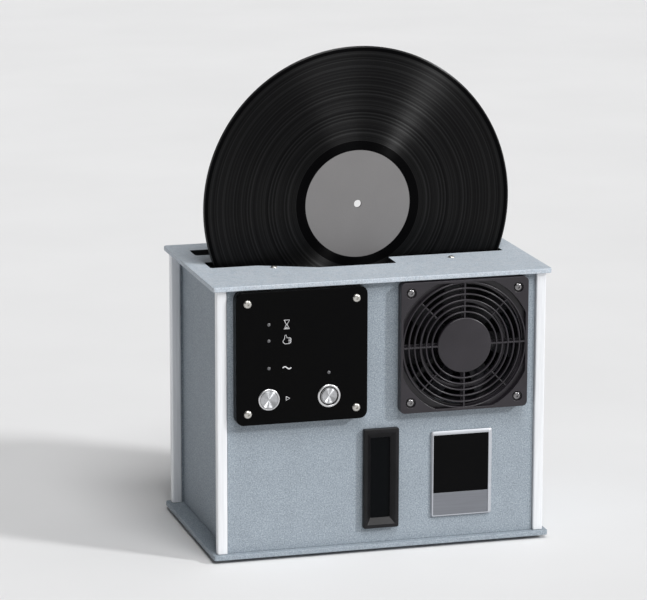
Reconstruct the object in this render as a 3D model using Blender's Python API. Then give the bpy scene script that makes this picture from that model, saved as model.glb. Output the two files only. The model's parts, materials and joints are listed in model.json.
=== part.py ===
"""Record cleaning machine: an upright case with a slot on top that a 12-inch record stands in.

Metres, +Z up, +X to the right of the front panel, +Y to the rear. The origin is the middle of the
footprint, on the surface that the feet stand on.
"""

import math

import bmesh
import bpy
from mathutils import Matrix

# Case: two plates, four corner posts and four sheet panels
CASE_WIDTH = 0.3284
CASE_DEPTH = 0.1982
CASE_TOP = 0.2638
PLATE_THICK = 0.0045
PLATE_CORNER = 0.003
PLATE_CHAMFER = 0.0004
POST_WIDTH = 0.010
POST_DEPTH = 0.008
POST_ROUND = 0.0018
POST_OVERHANG = 0.0042
POST_HOLE_RADIUS = 0.0015
POST_HOLE_DEPTH = 0.014
BASE_HOLE_RADIUS = 0.0018
BASE_SINK_RADIUS = 0.0034
BASE_SINK_DEPTH = 0.0018
PANEL_THICK = 0.002
FRONT_SETBACK = 0.003
SIDE_SETBACK = 0.012
PANEL_SIDE_GAP = 0.0006

# Clearances that every pair of touching pieces shares
FIT_GAP = 0.0003
OVERRUN = 0.002

# Feet
FOOT_HEIGHT = 0.0033
FOOT_RADIUS = 0.011
FOOT_ROUND = 0.0012
FOOT_INSET = 0.024

# Openings in the top plate: a record slot with a wide well, and the filter well behind it
SLOT_END_GAP = 0.0006
SLOT_FRONT_LEFT = 0.0145
SLOT_FRONT_RIGHT = 0.009
SLOT_REAR = 0.0122
SLOT_CORNER = 0.0022
WELL_SLANT_START = 0.100
WELL_SLANT_END = 0.0455
WELL_RIGHT = 0.030
WELL_FRONT = 0.0372
WELL_REAR = 0.030
FILTER_WELL_RIGHT = 0.005
FILTER_WELL_FRONT = 0.045
FILTER_WELL_DEPTH = 0.025
TOP_HOLE_RADIUS = 0.0017
TOP_SCREW_FRONT_X = 0.0875
TOP_SCREW_FRONT_Y = -0.0275
TOP_SCREW_REAR_X = 0.110
TOP_SCREW_REAR_Y = 0.0205

# Record
RECORD_X = 0.0015
RECORD_Y = -0.002
RECORD_RISE_SHARE = 0.34416
RECORD_RADIUS_SHARE = 1.03714
RECORD_THICK = 0.002
RECORD_RELIEF = 0.00015
RECORD_LABEL_RADIUS = 0.0508
RECORD_LABEL_STEP = 0.0012
RECORD_HOLE_RADIUS = 0.0036

# Cleaning bath under the slot
BATH_HEIGHT = 0.103
BATH_WALL = 0.002
BATH_FLOOR = 0.0025
BATH_MARGIN = 0.002
BATH_END_GAP = 0.0004
BATH_FLANGE_FRONT = 0.018
BATH_FLANGE_REAR = 0.008
BATH_FLANGE_THICK = 0.0025
BATH_CORNER = 0.003
BATH_DRAIN_RADIUS = 0.005

# Cleaning barrels, their spindles and the gear train below the bath
BARREL_RADIUS = 0.014
BARREL_LENGTH = 0.090
BARREL_SPACING = 0.0352
BARREL_FLOOR_GAP = 0.0045
BARREL_END_ROUND = 0.0015
SPINDLE_RADIUS = 0.004
SPINDLE_TOP = 0.004
SPINDLE_COLLAR = 0.0065
GEAR_TEETH = 14
PINION_TEETH = 7
GEAR_THICK = 0.006
GEAR_FLOOR_GAP = 0.002
GEAR_PLATE_THICK = 0.002
GEAR_PLATE_CORNER = 0.004
GEAR_PILLAR_RADIUS = 0.0035
GEAR_PILLAR_INSET = 0.001
TOOTH_ADDENDUM_SHARE = 0.8
TOOTH_DEDENDUM_SHARE = 1.05
TOOTH_ROOT_SHARE = 0.29
TOOTH_TIP_SHARE = 0.11
BARREL_MOTOR_RADIUS = 0.018
BARREL_MOTOR_LENGTH = 0.046
MOTOR_EDGE = 0.0012
PINION_SHAFT_RADIUS = 0.003
PINION_SHAFT_LENGTH = 0.010

# Rollers that carry and turn the record
ROLLER_RADIUS = 0.010
ROLLER_FLANGE = 0.002
ROLLER_WIDTH = 0.012
ROLLER_GROOVE = 0.004
ROLLER_SEAT = 0.0027
ROLLER_ANGLE = math.radians(38)
AXLE_RADIUS = 0.003
RECORD_MOTOR_RADIUS = 0.016
RECORD_MOTOR_LENGTH = 0.038
RECORD_MOTOR_SOCKET = 0.012

# Wiper blades beside the record
WIPER_ANGLE = math.radians(28)
WIPER_INNER = 0.068
WIPER_END_GAP = 0.0028
WIPER_BASE = 0.008
WIPER_BASE_THICK = 0.003
WIPER_LIP = 0.0012

# Ultrasonic transducer, drain valve, pump, tank and boards
TRANSDUCER_X = -0.085
TRANSDUCER_RADIUS = 0.0135
TRANSDUCER_NECK = 0.009
TRANSDUCER_LENGTH = 0.026
VALVE_X = 0.046
VALVE_Y = -0.003
VALVE_RADIUS = 0.0055
VALVE_BORE = 0.0035
VALVE_COIL_RADIUS = 0.010
VALVE_COIL_SHARE = 0.48
TANK_WIDTH = 0.124
TANK_MOTOR_GAP = 0.0024
TANK_HEIGHT = 0.114
TANK_WALL = 0.0025
TANK_CORNER = 0.006
TANK_PANEL_GAP = 0.0025
PUMP_Y = 0.010
PUMP_RADIUS = 0.021
PUMP_LENGTH = 0.058
PUMP_FOOT_WIDTH = 0.036
PUMP_FOOT_HEIGHT = 0.004
PUMP_PORT_RADIUS = 0.005
PUMP_PORT_LENGTH = 0.012
POWER_BOARD_SHARE = 0.73
POWER_BOARD_DEPTH = 0.100
BOARD_THICK = 0.0016
POWER_BOARD_PILLAR = 0.006
POWER_BOARD_PILLAR_RADIUS = 0.003
TRANSFORMER_SIDE = 0.036
TRANSFORMER_HEIGHT = 0.030

# Filter box and its foam
FILTER_WALL = 0.0015
FILTER_MARGIN = 0.0005
FILTER_BOX_HEIGHT = 0.088
FILTER_BOX_CORNER = 0.003
FILTER_PORT_RADIUS = 0.006
FILTER_FOAM_DROP = 0.014
FILTER_FOAM_CORNER = 0.002

# Control panel
CONTROL_X_SHARE = -0.27008
CONTROL_TOP_GAP = 0.0009
CONTROL_SIDE_SHARE = 0.42169
CONTROL_CORNER = 0.0072
CONTROL_DEPTH = 0.011
CONTROL_WALL = 0.0024
CONTROL_BACK = 0.002
CONTROL_SCREW_INSET = 0.0109
CONTROL_BOSS_RADIUS = 0.0042
CONTROL_SCREW_RADIUS = 0.0016
FACE_THICK = 0.004
FACE_CHAMFER = 0.0005
BUTTON_DROP_SHARE = 0.31032
START_X_SHARE = -0.25397
POWER_X_SHARE = 0.20317
START_RING_RADIUS = 0.01025
START_CAP_RADIUS = 0.0083
POWER_RING_RADIUS = 0.011
POWER_CAP_RADIUS = 0.0071
RING_RAISE = 0.0018
RING_LIP = 0.00095
RING_ROUND = 0.0007
CAP_RAISE = 0.0005
CAP_DISH = 0.0011
CAP_EDGE = 0.0006
CAP_DEPTH = 0.0055
BUTTON_TRAVEL = 0.0015
SWITCH_LENGTH = 0.026
LED_RADIUS = 0.0015
LED_RAISE = 0.0004
LED_RISE_SHARES = (0.25079, 0.12937, -0.07738)
LED_POWER_DROP_SHARE = 0.13452
LED_X_SHARE = -0.25317
BOARD_MARGIN = 0.008

# Fan guards, fans and filter frame
FAN_X_SHARE = 0.25904
FAN_TOP_GAP = 0.0012
GUARD_SIDE_SHARE = 0.41834
GUARD_CORNER = 0.0045
GUARD_DEPTH = 0.0047
GUARD_FRAME = 0.0025
GUARD_ROUND_SHARE = 1.1
GUARD_HUB_SHARE = 0.43667
GUARD_RING_FIRST_SHARE = 0.52833
GUARD_RING_PITCH_SHARE = 0.09467
GUARD_RING_COUNT = 6
GUARD_RING_WIDTH = 0.0016
GUARD_RING_DEPTH = 0.0026
GUARD_SPOKE_WIDTH = 0.0016
GUARD_BRACE_INNER_SHARE = 0.60833
GUARD_BRACE_GAP = 0.0005
GUARD_RING_DROP = 0.0004
GUARD_SPOKE_DROP = 0.0008
GUARD_HUB_DROP = 0.0002
GUARD_HUB_DEPTH = 0.0034
GUARD_SCREW_INSET = 0.010
GUARD_BORE_RADIUS = 0.0048
GUARD_BORE_DEPTH = 0.0022
FRAME_WALL = 0.005
FRAME_RIB_WIDTH = 0.0042
FRAME_RIB_DEPTH = 0.0022
FRAME_HUB_SHARE = 0.40000
FRAME_RING_SHARE = 0.68333
FRAME_RING_WIDTH = 0.003
FAN_INSET = 0.0025
FAN_CORNER = 0.004
FAN_DEPTH = 0.025
FAN_WALL = 0.0025
FAN_SCREW_RADIUS = 0.0022
FAN_STRUT_WIDTH = 0.005
FAN_STRUT_DEPTH = 0.0035
FAN_STRUT_COUNT = 4
FAN_BOSS_SHARE = 0.33043
FAN_HUB_SHARE = 0.35652
FAN_HUB_ROUND = 0.002
FAN_TIP_GAP = 0.0015
FAN_FRONT_GAP = 0.0015
FAN_BLADES = 7
FAN_BLADE_THICK = 0.0014
FAN_BLADE_WIDTH = 0.020
FAN_BLADE_ROOT_SHARE = 0.29565
FAN_BLADE_SECTIONS = 4
FAN_BLADE_ROOT_ANGLE = math.radians(42)
FAN_BLADE_TIP_ANGLE = math.radians(24)
FAN_BLADE_SWEEP = math.radians(12)
FAN_HOLE_MARGIN = 0.0005

# Sight window and badge plate
WINDOW_X = -0.0018
WINDOW_Z = 0.0708
WINDOW_WIDTH = 0.0344
WINDOW_HEIGHT = 0.0964
WINDOW_CORNER = 0.0014
WINDOW_DEPTH = 0.0052
WINDOW_FRAME = 0.0034
WINDOW_FUNNEL_SIDE = 0.0044
WINDOW_FUNNEL_END = 0.006
WINDOW_SILL = 0.0006
WINDOW_CHAMFER = 0.0006
WINDOW_PANE_BORDER = 0.0015
BADGE_WIDTH = 0.0576
BADGE_HEIGHT = 0.0812
BADGE_DROP = 0.0017
BADGE_THICK = 0.0018
BADGE_CORNER = 0.0014
BADGE_BORDER = 0.0016
BADGE_FIELD = 0.0565
BADGE_RECESS = 0.0005

# Rear fittings
VENT_X = -0.070
VENT_Z = 0.170
VENT_WIDTH = 0.010
VENT_HEIGHT = 0.070
VENT_PITCH = 0.018
VENT_COUNT = 4
INLET_EDGE_GAP = 0.0394
INLET_Z = 0.045
INLET_WIDTH = 0.031
INLET_HEIGHT = 0.024
INLET_CORNER = 0.003
INLET_FLANGE = 0.003
INLET_LUG = 0.008
INLET_DEPTH = 0.018
INLET_WALL = 0.002
INLET_FLOOR = 0.003
INLET_PIN_WIDTH = 0.004
INLET_PIN_THICK = 0.002
INLET_PIN_LENGTH = 0.011
INLET_PIN_REACH = 0.007
INLET_PIN_RISE = 0.0035
INLET_PIN_DROP = 0.0005
DRAIN_X = 0.030
DRAIN_Z = 0.026
DRAIN_FLANGE_RADIUS = 0.013
DRAIN_FLANGE_THICK = 0.0025
DRAIN_GRIP_RADIUS = 0.0105
DRAIN_GRIP_RIBS = 12
DRAIN_GRIP_GROOVE = 0.0009
DRAIN_REACH = 0.0133
DRAIN_STEM_RADIUS = 0.0075
DRAIN_STEM_LENGTH = 0.012

# Facet counts
RECORD_STEPS = 60
FAN_STEPS = 24
ROUND_STEPS = 16
SMALL_STEPS = 10
HOLE_STEPS = 8
CORNER_STEPS = 2
WIDE_CORNER_STEPS = 4
SMOOTH_ANGLE = math.radians(35)

# Places that follow from the sizes above
BASE_TOP = FOOT_HEIGHT + PLATE_THICK
PLATE_UNDERSIDE = CASE_TOP - PLATE_THICK
POST_OUTER_X = CASE_WIDTH / 2 - POST_OVERHANG
POST_OUTER_Y = CASE_DEPTH / 2 - POST_OVERHANG
FRONT_FACE = POST_OUTER_Y - FRONT_SETBACK
SIDE_FACE = POST_OUTER_X - SIDE_SETBACK
PANEL_INSIDE_Y = FRONT_FACE - PANEL_THICK
PANEL_INSIDE_X = SIDE_FACE - PANEL_THICK
PANEL_BOTTOM = BASE_TOP + FIT_GAP
PANEL_TOP = PLATE_UNDERSIDE - FIT_GAP
PANEL_HALF_WIDTH = POST_OUTER_X - POST_WIDTH - PANEL_SIDE_GAP
PANEL_WIDTH = 2 * PANEL_HALF_WIDTH
SLOT_HALF_LENGTH = PANEL_INSIDE_X - SLOT_END_GAP
RECORD_RADIUS = RECORD_RADIUS_SHARE * SLOT_HALF_LENGTH
RECORD_Z = CASE_TOP + RECORD_RISE_SHARE * RECORD_RADIUS
WIPER_OUTER = RECORD_RADIUS - WIPER_END_GAP
BATH_TOP = PLATE_UNDERSIDE - FIT_GAP
BATH_BOTTOM = BATH_TOP - BATH_HEIGHT
BATH_END = PANEL_INSIDE_X - BATH_END_GAP
BATH_RIGHT_FRONT = SLOT_FRONT_RIGHT + BATH_MARGIN
BATH_REAR = SLOT_REAR + BATH_MARGIN
RECORD_HALF = RECORD_THICK / 2
BARREL_REACH = RECORD_HALF + FIT_GAP + BARREL_RADIUS
BARREL_MIDDLE_X = (WELL_RIGHT - WELL_SLANT_END) / 2
BARREL_BOTTOM = BATH_BOTTOM + BATH_FLOOR + BARREL_FLOOR_GAP
GEAR_RADIUS = BARREL_REACH
PINION_RADIUS = GEAR_RADIUS * PINION_TEETH / GEAR_TEETH
GEAR_TOP = BATH_BOTTOM - GEAR_FLOOR_GAP
GEAR_BOTTOM = GEAR_TOP - GEAR_THICK
GEAR_PLATE_TOP = GEAR_BOTTOM - FIT_GAP
GEAR_PLATE_BOTTOM = GEAR_PLATE_TOP - GEAR_PLATE_THICK
PINION_RISE = math.sqrt((GEAR_RADIUS + PINION_RADIUS) ** 2 - (BARREL_SPACING / 2) ** 2)
PINION_Y = RECORD_Y + BARREL_REACH + PINION_RISE
ROLLER_REACH = RECORD_RADIUS + FIT_GAP + ROLLER_RADIUS
ROLLER_Z = RECORD_Z - ROLLER_REACH * math.cos(ROLLER_ANGLE)
ROLLER_SPREAD = ROLLER_REACH * math.sin(ROLLER_ANGLE)
CONTROL_X = CONTROL_X_SHARE * PANEL_WIDTH
CONTROL_SIDE = CONTROL_SIDE_SHARE * PANEL_WIDTH
CONTROL_Z = PLATE_UNDERSIDE - CONTROL_TOP_GAP - CONTROL_SIDE / 2
CONTROL_SCREW_REACH = CONTROL_SIDE / 2 - CONTROL_SCREW_INSET
BUTTON_Z = CONTROL_Z - BUTTON_DROP_SHARE * CONTROL_SIDE
START_X = CONTROL_X + START_X_SHARE * CONTROL_SIDE
POWER_X = CONTROL_X + POWER_X_SHARE * CONTROL_SIDE
FACE_FRONT = FRONT_FACE + CONTROL_DEPTH
HOUSING_FRONT = FACE_FRONT - FACE_THICK - FIT_GAP
GUARD_BACK = FRONT_FACE + FIT_GAP
FAN_X = FAN_X_SHARE * PANEL_WIDTH
GUARD_SIDE = GUARD_SIDE_SHARE * PANEL_WIDTH
FAN_Z = PLATE_UNDERSIDE - FAN_TOP_GAP - GUARD_SIDE / 2
BADGE_Z = (PANEL_BOTTOM + FAN_Z - GUARD_SIDE / 2) / 2 - BADGE_DROP
GUARD_OPENING = GUARD_SIDE / 2 - GUARD_FRAME
GUARD_SCREW_REACH = GUARD_SIDE / 2 - GUARD_SCREW_INSET
FRAME_OPENING_RADIUS = GUARD_SIDE / 2 - FRAME_WALL
FAN_SIDE = GUARD_SIDE - 2 * FAN_INSET
FAN_BORE_RADIUS = FAN_SIDE / 2 - FAN_WALL
TANK_TOP = BASE_TOP + FIT_GAP + TANK_HEIGHT
TANK_FRONT = TANK_PANEL_GAP - PANEL_INSIDE_Y
TANK_DEPTH = PINION_Y - BARREL_MOTOR_RADIUS - TANK_MOTOR_GAP - TANK_FRONT
TANK_Y = TANK_FRONT + TANK_DEPTH / 2
TANK_LEFT_GAP = PANEL_INSIDE_X + WINDOW_X - TANK_WIDTH / 2
TANK_RIGHT_GAP = PANEL_INSIDE_X - WINDOW_X - TANK_WIDTH / 2
POWER_BOARD_WIDTH = POWER_BOARD_SHARE * TANK_LEFT_GAP
POWER_BOARD_X = TANK_LEFT_GAP / 2 - PANEL_INSIDE_X
PUMP_X = PANEL_INSIDE_X - TANK_RIGHT_GAP / 2
FAN_BACK = PANEL_INSIDE_Y - FIT_GAP


def clear_scene():
    for obj in list(bpy.data.objects):
        bpy.data.objects.remove(obj, do_unlink=True)


def material(name, colour, roughness, metallic=0.0, alpha=1.0):
    made = bpy.data.materials.new(name)
    made.use_nodes = True
    shader = made.node_tree.nodes["Principled BSDF"]
    shader.inputs["Base Color"].default_value = (*colour, 1.0)
    shader.inputs["Roughness"].default_value = roughness
    shader.inputs["Metallic"].default_value = metallic
    shader.inputs["Alpha"].default_value = alpha
    return made


def finished(name, bm, surface=None, place=(0, 0, 0)):
    """Turns a bmesh into a named object with its faces turned outward."""
    bmesh.ops.recalc_face_normals(bm, faces=bm.faces)
    mesh = bpy.data.meshes.new(name)
    bm.to_mesh(mesh)
    bm.free()
    mesh.shade_smooth()
    mesh.set_sharp_from_angle(angle=SMOOTH_ANGLE)
    obj = bpy.data.objects.new(name, mesh)
    obj.location = place
    bpy.context.scene.collection.objects.link(obj)
    if surface is None:
        obj.hide_render = True
        obj.display_type = "WIRE"
    else:
        mesh.materials.append(surface)
    return obj


def copy_of(obj, name, place, turn=0.0):
    """Another object on the same mesh and modifiers, turned about Z."""
    twin = obj.copy()
    twin.name = name
    twin.location = place
    twin.rotation_euler.z = turn
    bpy.context.scene.collection.objects.link(twin)
    return twin


def combine(target, tool, operation):
    step = target.modifiers.new(tool.name, "BOOLEAN")
    step.operation = operation
    step.solver = "EXACT"
    step.object = tool
    tool.parent = target
    return target


def cut(target, tool):
    return combine(target, tool, "DIFFERENCE")


def add(target, tool):
    return combine(target, tool, "UNION")


def rounded(corners, radius, steps=CORNER_STEPS):
    """A closed outline through the corners, each one replaced by an arc of the radius."""
    outline = []
    count = len(corners)
    for index, (x, y) in enumerate(corners):
        before = corners[index - 1]
        after = corners[(index + 1) % count]
        to_before = math.atan2(before[1] - y, before[0] - x)
        to_after = math.atan2(after[1] - y, after[0] - x)
        between = (to_after - to_before + math.pi) % (2 * math.pi) - math.pi
        half = abs(between) / 2
        middle = to_before + between / 2
        reach = radius / math.sin(half)
        centre_x = x + reach * math.cos(middle)
        centre_y = y + reach * math.sin(middle)
        sweep = math.copysign(math.pi - 2 * half, between)
        start = middle + math.pi + sweep / 2
        for step in range(steps + 1):
            angle = start - sweep * step / steps
            outline.append((centre_x + radius * math.cos(angle), centre_y + radius * math.sin(angle)))
    return outline


def rectangle(width, height, radius, steps=CORNER_STEPS):
    x = width / 2
    y = height / 2
    return rounded([(-x, -y), (x, -y), (x, y), (-x, y)], radius, steps)


def circle(radius, steps, start=0.0):
    turns = [start + 2 * math.pi * step / steps for step in range(steps)]
    return [(radius * math.cos(turn), radius * math.sin(turn)) for turn in turns]


def rotated(outline, turn):
    cosine = math.cos(turn)
    sine = math.sin(turn)
    return [(x * cosine - y * sine, x * sine + y * cosine) for x, y in outline]


def lay(axis, across, up, along):
    """A point of an outline, across and up on its plane and along the extrusion."""
    if axis == "Z":
        return (across, up, along)
    if axis == "Y":
        return (across, along, up)
    return (along, across, up)


def prism(bm, outline, axis, low, high):
    """Extrudes a closed outline between two heights on the axis."""
    verts = [bm.verts.new(lay(axis, x, y, low)) for x, y in outline]
    face = bm.faces.new(verts)
    moved = bmesh.ops.extrude_face_region(bm, geom=[face])
    tops = [item for item in moved["geom"] if isinstance(item, bmesh.types.BMVert)]
    bmesh.ops.translate(bm, verts=tops, vec=lay(axis, 0, 0, high - low))
    return bm


def loft(bm, sections, axis):
    """Bridges outlines of equal length, each with its height on the axis, and caps both ends."""
    rings = [[bm.verts.new(lay(axis, x, y, along)) for x, y in outline] for outline, along in sections]
    for lower, upper in zip(rings, rings[1:]):
        for index in range(len(lower)):
            follow = (index + 1) % len(lower)
            bm.faces.new((lower[index], lower[follow], upper[follow], upper[index]))
    bm.faces.new(rings[0][::-1])
    bm.faces.new(rings[-1])
    return bm


def spun(bm, profile, axis, steps, closed=False):
    """Revolves a profile of (radius, along) points about the axis through the local origin."""
    verts = [bm.verts.new(lay(axis, radius, 0, along)) for radius, along in profile]
    pairs = list(zip(verts, verts[1:]))
    if closed:
        pairs.append((verts[-1], verts[0]))
    edges = [bm.edges.new(pair) for pair in pairs]
    direction = {"X": (1, 0, 0), "Y": (0, 1, 0), "Z": (0, 0, 1)}[axis]
    bmesh.ops.spin(
        bm,
        geom=verts + edges,
        cent=(0, 0, 0),
        axis=direction,
        angle=2 * math.pi,
        steps=steps,
        use_merge=True,
        use_duplicate=False,
    )
    bmesh.ops.remove_doubles(bm, verts=bm.verts, dist=FIT_GAP / 100)
    return bm


def settled(obj):
    """Replaces an object's mesh by its result with the modifiers applied, and drops the tools."""
    bpy.context.view_layer.update()
    graph = bpy.context.evaluated_depsgraph_get()
    mesh = bpy.data.meshes.new_from_object(obj.evaluated_get(graph))
    mesh.name = obj.name
    mesh.shade_smooth()
    mesh.set_sharp_from_angle(angle=SMOOTH_ANGLE)
    obj.modifiers.clear()
    obj.data = mesh
    for tool in list(obj.children_recursive):
        bpy.data.objects.remove(tool, do_unlink=True)
    return obj


def cylinders(bm, radius, places, axis, low, high, steps=SMALL_STEPS):
    """Round bars of one radius at each (across, up) place."""
    for across, up in places:
        prism(bm, [(across + x, up + y) for x, y in circle(radius, steps)], axis, low, high)
    return bm


def corners_at(reach_x, reach_y):
    return [(x * reach_x, y * reach_y) for x in (-1, 1) for y in (-1, 1)]


def plate(name, surface, place):
    """A flat plate with rounded corners and small chamfers, its underside at the place."""
    width = CASE_WIDTH - 2 * PLATE_CHAMFER
    inner = rectangle(width, CASE_DEPTH - 2 * PLATE_CHAMFER, PLATE_CORNER - PLATE_CHAMFER)
    outer = rectangle(CASE_WIDTH, CASE_DEPTH, PLATE_CORNER)
    sections = [
        (inner, 0),
        (outer, PLATE_CHAMFER),
        (outer, PLATE_THICK - PLATE_CHAMFER),
        (inner, PLATE_THICK),
    ]
    return finished(name, loft(bmesh.new(), sections, "Z"), surface, place)


def feet(surface):
    profile = [
        (0, 0),
        (FOOT_RADIUS - FOOT_ROUND, 0),
        (FOOT_RADIUS, FOOT_ROUND),
        (FOOT_RADIUS, FOOT_HEIGHT - FIT_GAP),
        (0, FOOT_HEIGHT - FIT_GAP),
    ]
    x = CASE_WIDTH / 2 - FOOT_INSET
    y = CASE_DEPTH / 2 - FOOT_INSET
    first = finished("foot_front_left", spun(bmesh.new(), profile, "Z", ROUND_STEPS), surface, (-x, -y, 0))
    copy_of(first, "foot_front_right", (x, -y, 0))
    copy_of(first, "foot_rear_left", (-x, y, 0))
    copy_of(first, "foot_rear_right", (x, y, 0))


def base_plate(surface):
    base = plate("base_plate", surface, (0, 0, FOOT_HEIGHT))
    holes = bmesh.new()
    for x, y in corners_at(POST_OUTER_X - POST_WIDTH / 2, POST_OUTER_Y - POST_DEPTH / 2):
        sections = [
            ([(x + a, y + b) for a, b in circle(radius, HOLE_STEPS)], along)
            for radius, along in (
                (BASE_SINK_RADIUS, -OVERRUN),
                (BASE_SINK_RADIUS, 0),
                (BASE_HOLE_RADIUS, BASE_SINK_DEPTH),
                (BASE_HOLE_RADIUS, PLATE_THICK + OVERRUN),
            )
        ]
        loft(holes, sections, "Z")
    return cut(base, finished("base_screw_holes", holes))


def corner_posts(surface):
    low = BASE_TOP + FIT_GAP
    height = PLATE_UNDERSIDE - FIT_GAP - low
    body = prism(bmesh.new(), rectangle(POST_WIDTH, POST_DEPTH, POST_ROUND), "Z", 0, height)
    x = POST_OUTER_X - POST_WIDTH / 2
    y = POST_OUTER_Y - POST_DEPTH / 2
    first = finished("post_front_left", body, surface, (-x, -y, low))
    holes = cylinders(bmesh.new(), POST_HOLE_RADIUS, [(0, 0)], "Z", -OVERRUN, POST_HOLE_DEPTH, HOLE_STEPS)
    settled(cut(first, finished("post_screw_hole", holes)))
    copy_of(first, "post_front_right", (x, -y, low))
    copy_of(first, "post_rear_left", (-x, y, low))
    copy_of(first, "post_rear_right", (x, y, low))


def slot_corners(front, rear, side, half_length):
    """The record slot with its wide well, grown by a margin to the front, rear and right."""
    slant = math.atan2(WELL_FRONT - SLOT_FRONT_LEFT, WELL_SLANT_START - WELL_SLANT_END)
    shift = side * math.tan(slant / 2)
    slant_start = -WELL_SLANT_START - shift
    slant_end = -WELL_SLANT_END - shift
    right = WELL_RIGHT + side
    return [
        (-half_length, -SLOT_FRONT_LEFT - front),
        (slant_start, -SLOT_FRONT_LEFT - front),
        (slant_end, -WELL_FRONT - front),
        (right, -WELL_FRONT - front),
        (right, -SLOT_FRONT_RIGHT - front),
        (half_length, -SLOT_FRONT_RIGHT - front),
        (half_length, SLOT_REAR + rear),
        (right, SLOT_REAR + rear),
        (right, WELL_REAR + rear),
        (slant_end, WELL_REAR + rear),
        (slant_start, SLOT_REAR + rear),
        (-half_length, SLOT_REAR + rear),
    ]


def filter_well(margin, left):
    """The corners of the filter well, grown by a margin on three sides."""
    front = FILTER_WELL_FRONT - margin
    rear = FILTER_WELL_FRONT + FILTER_WELL_DEPTH + margin
    right = FILTER_WELL_RIGHT + margin
    return [(-left, front), (right, front), (right, rear), (-left, rear)]


def screw_places():
    front = [(x * TOP_SCREW_FRONT_X, TOP_SCREW_FRONT_Y) for x in (-1, 1)]
    rear = [(x * TOP_SCREW_REAR_X, TOP_SCREW_REAR_Y) for x in (-1, 1)]
    return front + rear


def top_plate(surface):
    top = plate("top_plate", surface, (0, 0, PLATE_UNDERSIDE))
    openings = bmesh.new()
    slot = rounded(slot_corners(0, 0, 0, SLOT_HALF_LENGTH), SLOT_CORNER)
    prism(openings, slot, "Z", -OVERRUN, PLATE_THICK + OVERRUN)
    well = rounded(filter_well(0, SLOT_HALF_LENGTH), SLOT_CORNER)
    prism(openings, well, "Z", -OVERRUN, PLATE_THICK + OVERRUN)
    cylinders(openings, TOP_HOLE_RADIUS, screw_places(), "Z", -OVERRUN, PLATE_THICK + OVERRUN, HOLE_STEPS)
    return cut(top, finished("top_openings", openings))


def panel(name, surface, half_width, axis, face, inward):
    """A sheet between the plates, its outer face at the face and its thickness going inward."""
    height = PANEL_TOP - PANEL_BOTTOM
    outline = [(-half_width, 0), (half_width, 0), (half_width, height), (-half_width, height)]
    sheet = prism(bmesh.new(), outline, axis, 0, inward * PANEL_THICK)
    place = (face, 0, PANEL_BOTTOM) if axis == "X" else (0, face, PANEL_BOTTOM)
    return finished(name, sheet, surface, place)


def side_panels(surface):
    depth = PANEL_INSIDE_Y - FIT_GAP
    panel("side_panel_left", surface, depth, "X", -SIDE_FACE, 1)
    panel("side_panel_right", surface, depth, "X", SIDE_FACE, -1)


def front_panel(surface):
    front = panel("front_panel", surface, PANEL_HALF_WIDTH, "Y", -FRONT_FACE, 1)
    holes = bmesh.new()
    low = -OVERRUN
    high = PANEL_THICK + OVERRUN
    fan = [(FAN_X, FAN_Z - PANEL_BOTTOM)]
    cylinders(holes, FAN_BORE_RADIUS + FAN_HOLE_MARGIN, fan, "Y", low, high, FAN_STEPS)
    for x, ring in ((START_X, START_RING_RADIUS), (POWER_X, POWER_RING_RADIUS)):
        place = [(x, BUTTON_Z - PANEL_BOTTOM)]
        cylinders(holes, ring - RING_LIP + FIT_GAP, place, "Y", low, high, ROUND_STEPS)
    width, height = pane_size()
    window = rectangle(width + 2 * FIT_GAP, height + 2 * FIT_GAP, WINDOW_CORNER)
    shifted = [(WINDOW_X + x, WINDOW_Z - PANEL_BOTTOM + z) for x, z in window]
    prism(holes, shifted, "Y", low, high)
    return cut(front, finished("front_panel_holes", holes))


def rear_panel(surface):
    rear = panel("rear_panel", surface, PANEL_HALF_WIDTH, "Y", FRONT_FACE, -1)
    holes = bmesh.new()
    low = -PANEL_THICK - OVERRUN
    high = OVERRUN
    slit = rectangle(VENT_WIDTH, VENT_HEIGHT, VENT_WIDTH / 3, 1)
    first = VENT_X - VENT_PITCH * (VENT_COUNT - 1) / 2
    for index in range(VENT_COUNT):
        across = first + index * VENT_PITCH
        prism(holes, [(across + x, VENT_Z - PANEL_BOTTOM + z) for x, z in slit], "Y", low, high)
    drain = [(DRAIN_X, DRAIN_Z - PANEL_BOTTOM)]
    cylinders(holes, DRAIN_STEM_RADIUS + FIT_GAP, drain, "Y", low, high, ROUND_STEPS)
    body = rectangle(INLET_WIDTH + 2 * FIT_GAP, INLET_HEIGHT + 2 * FIT_GAP, INLET_CORNER)
    prism(holes, [(inlet_x() + x, INLET_Z - PANEL_BOTTOM + z) for x, z in body], "Y", low, high)
    return cut(rear, finished("rear_panel_holes", holes))


def inlet_x():
    return INLET_EDGE_GAP - PANEL_HALF_WIDTH


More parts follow.
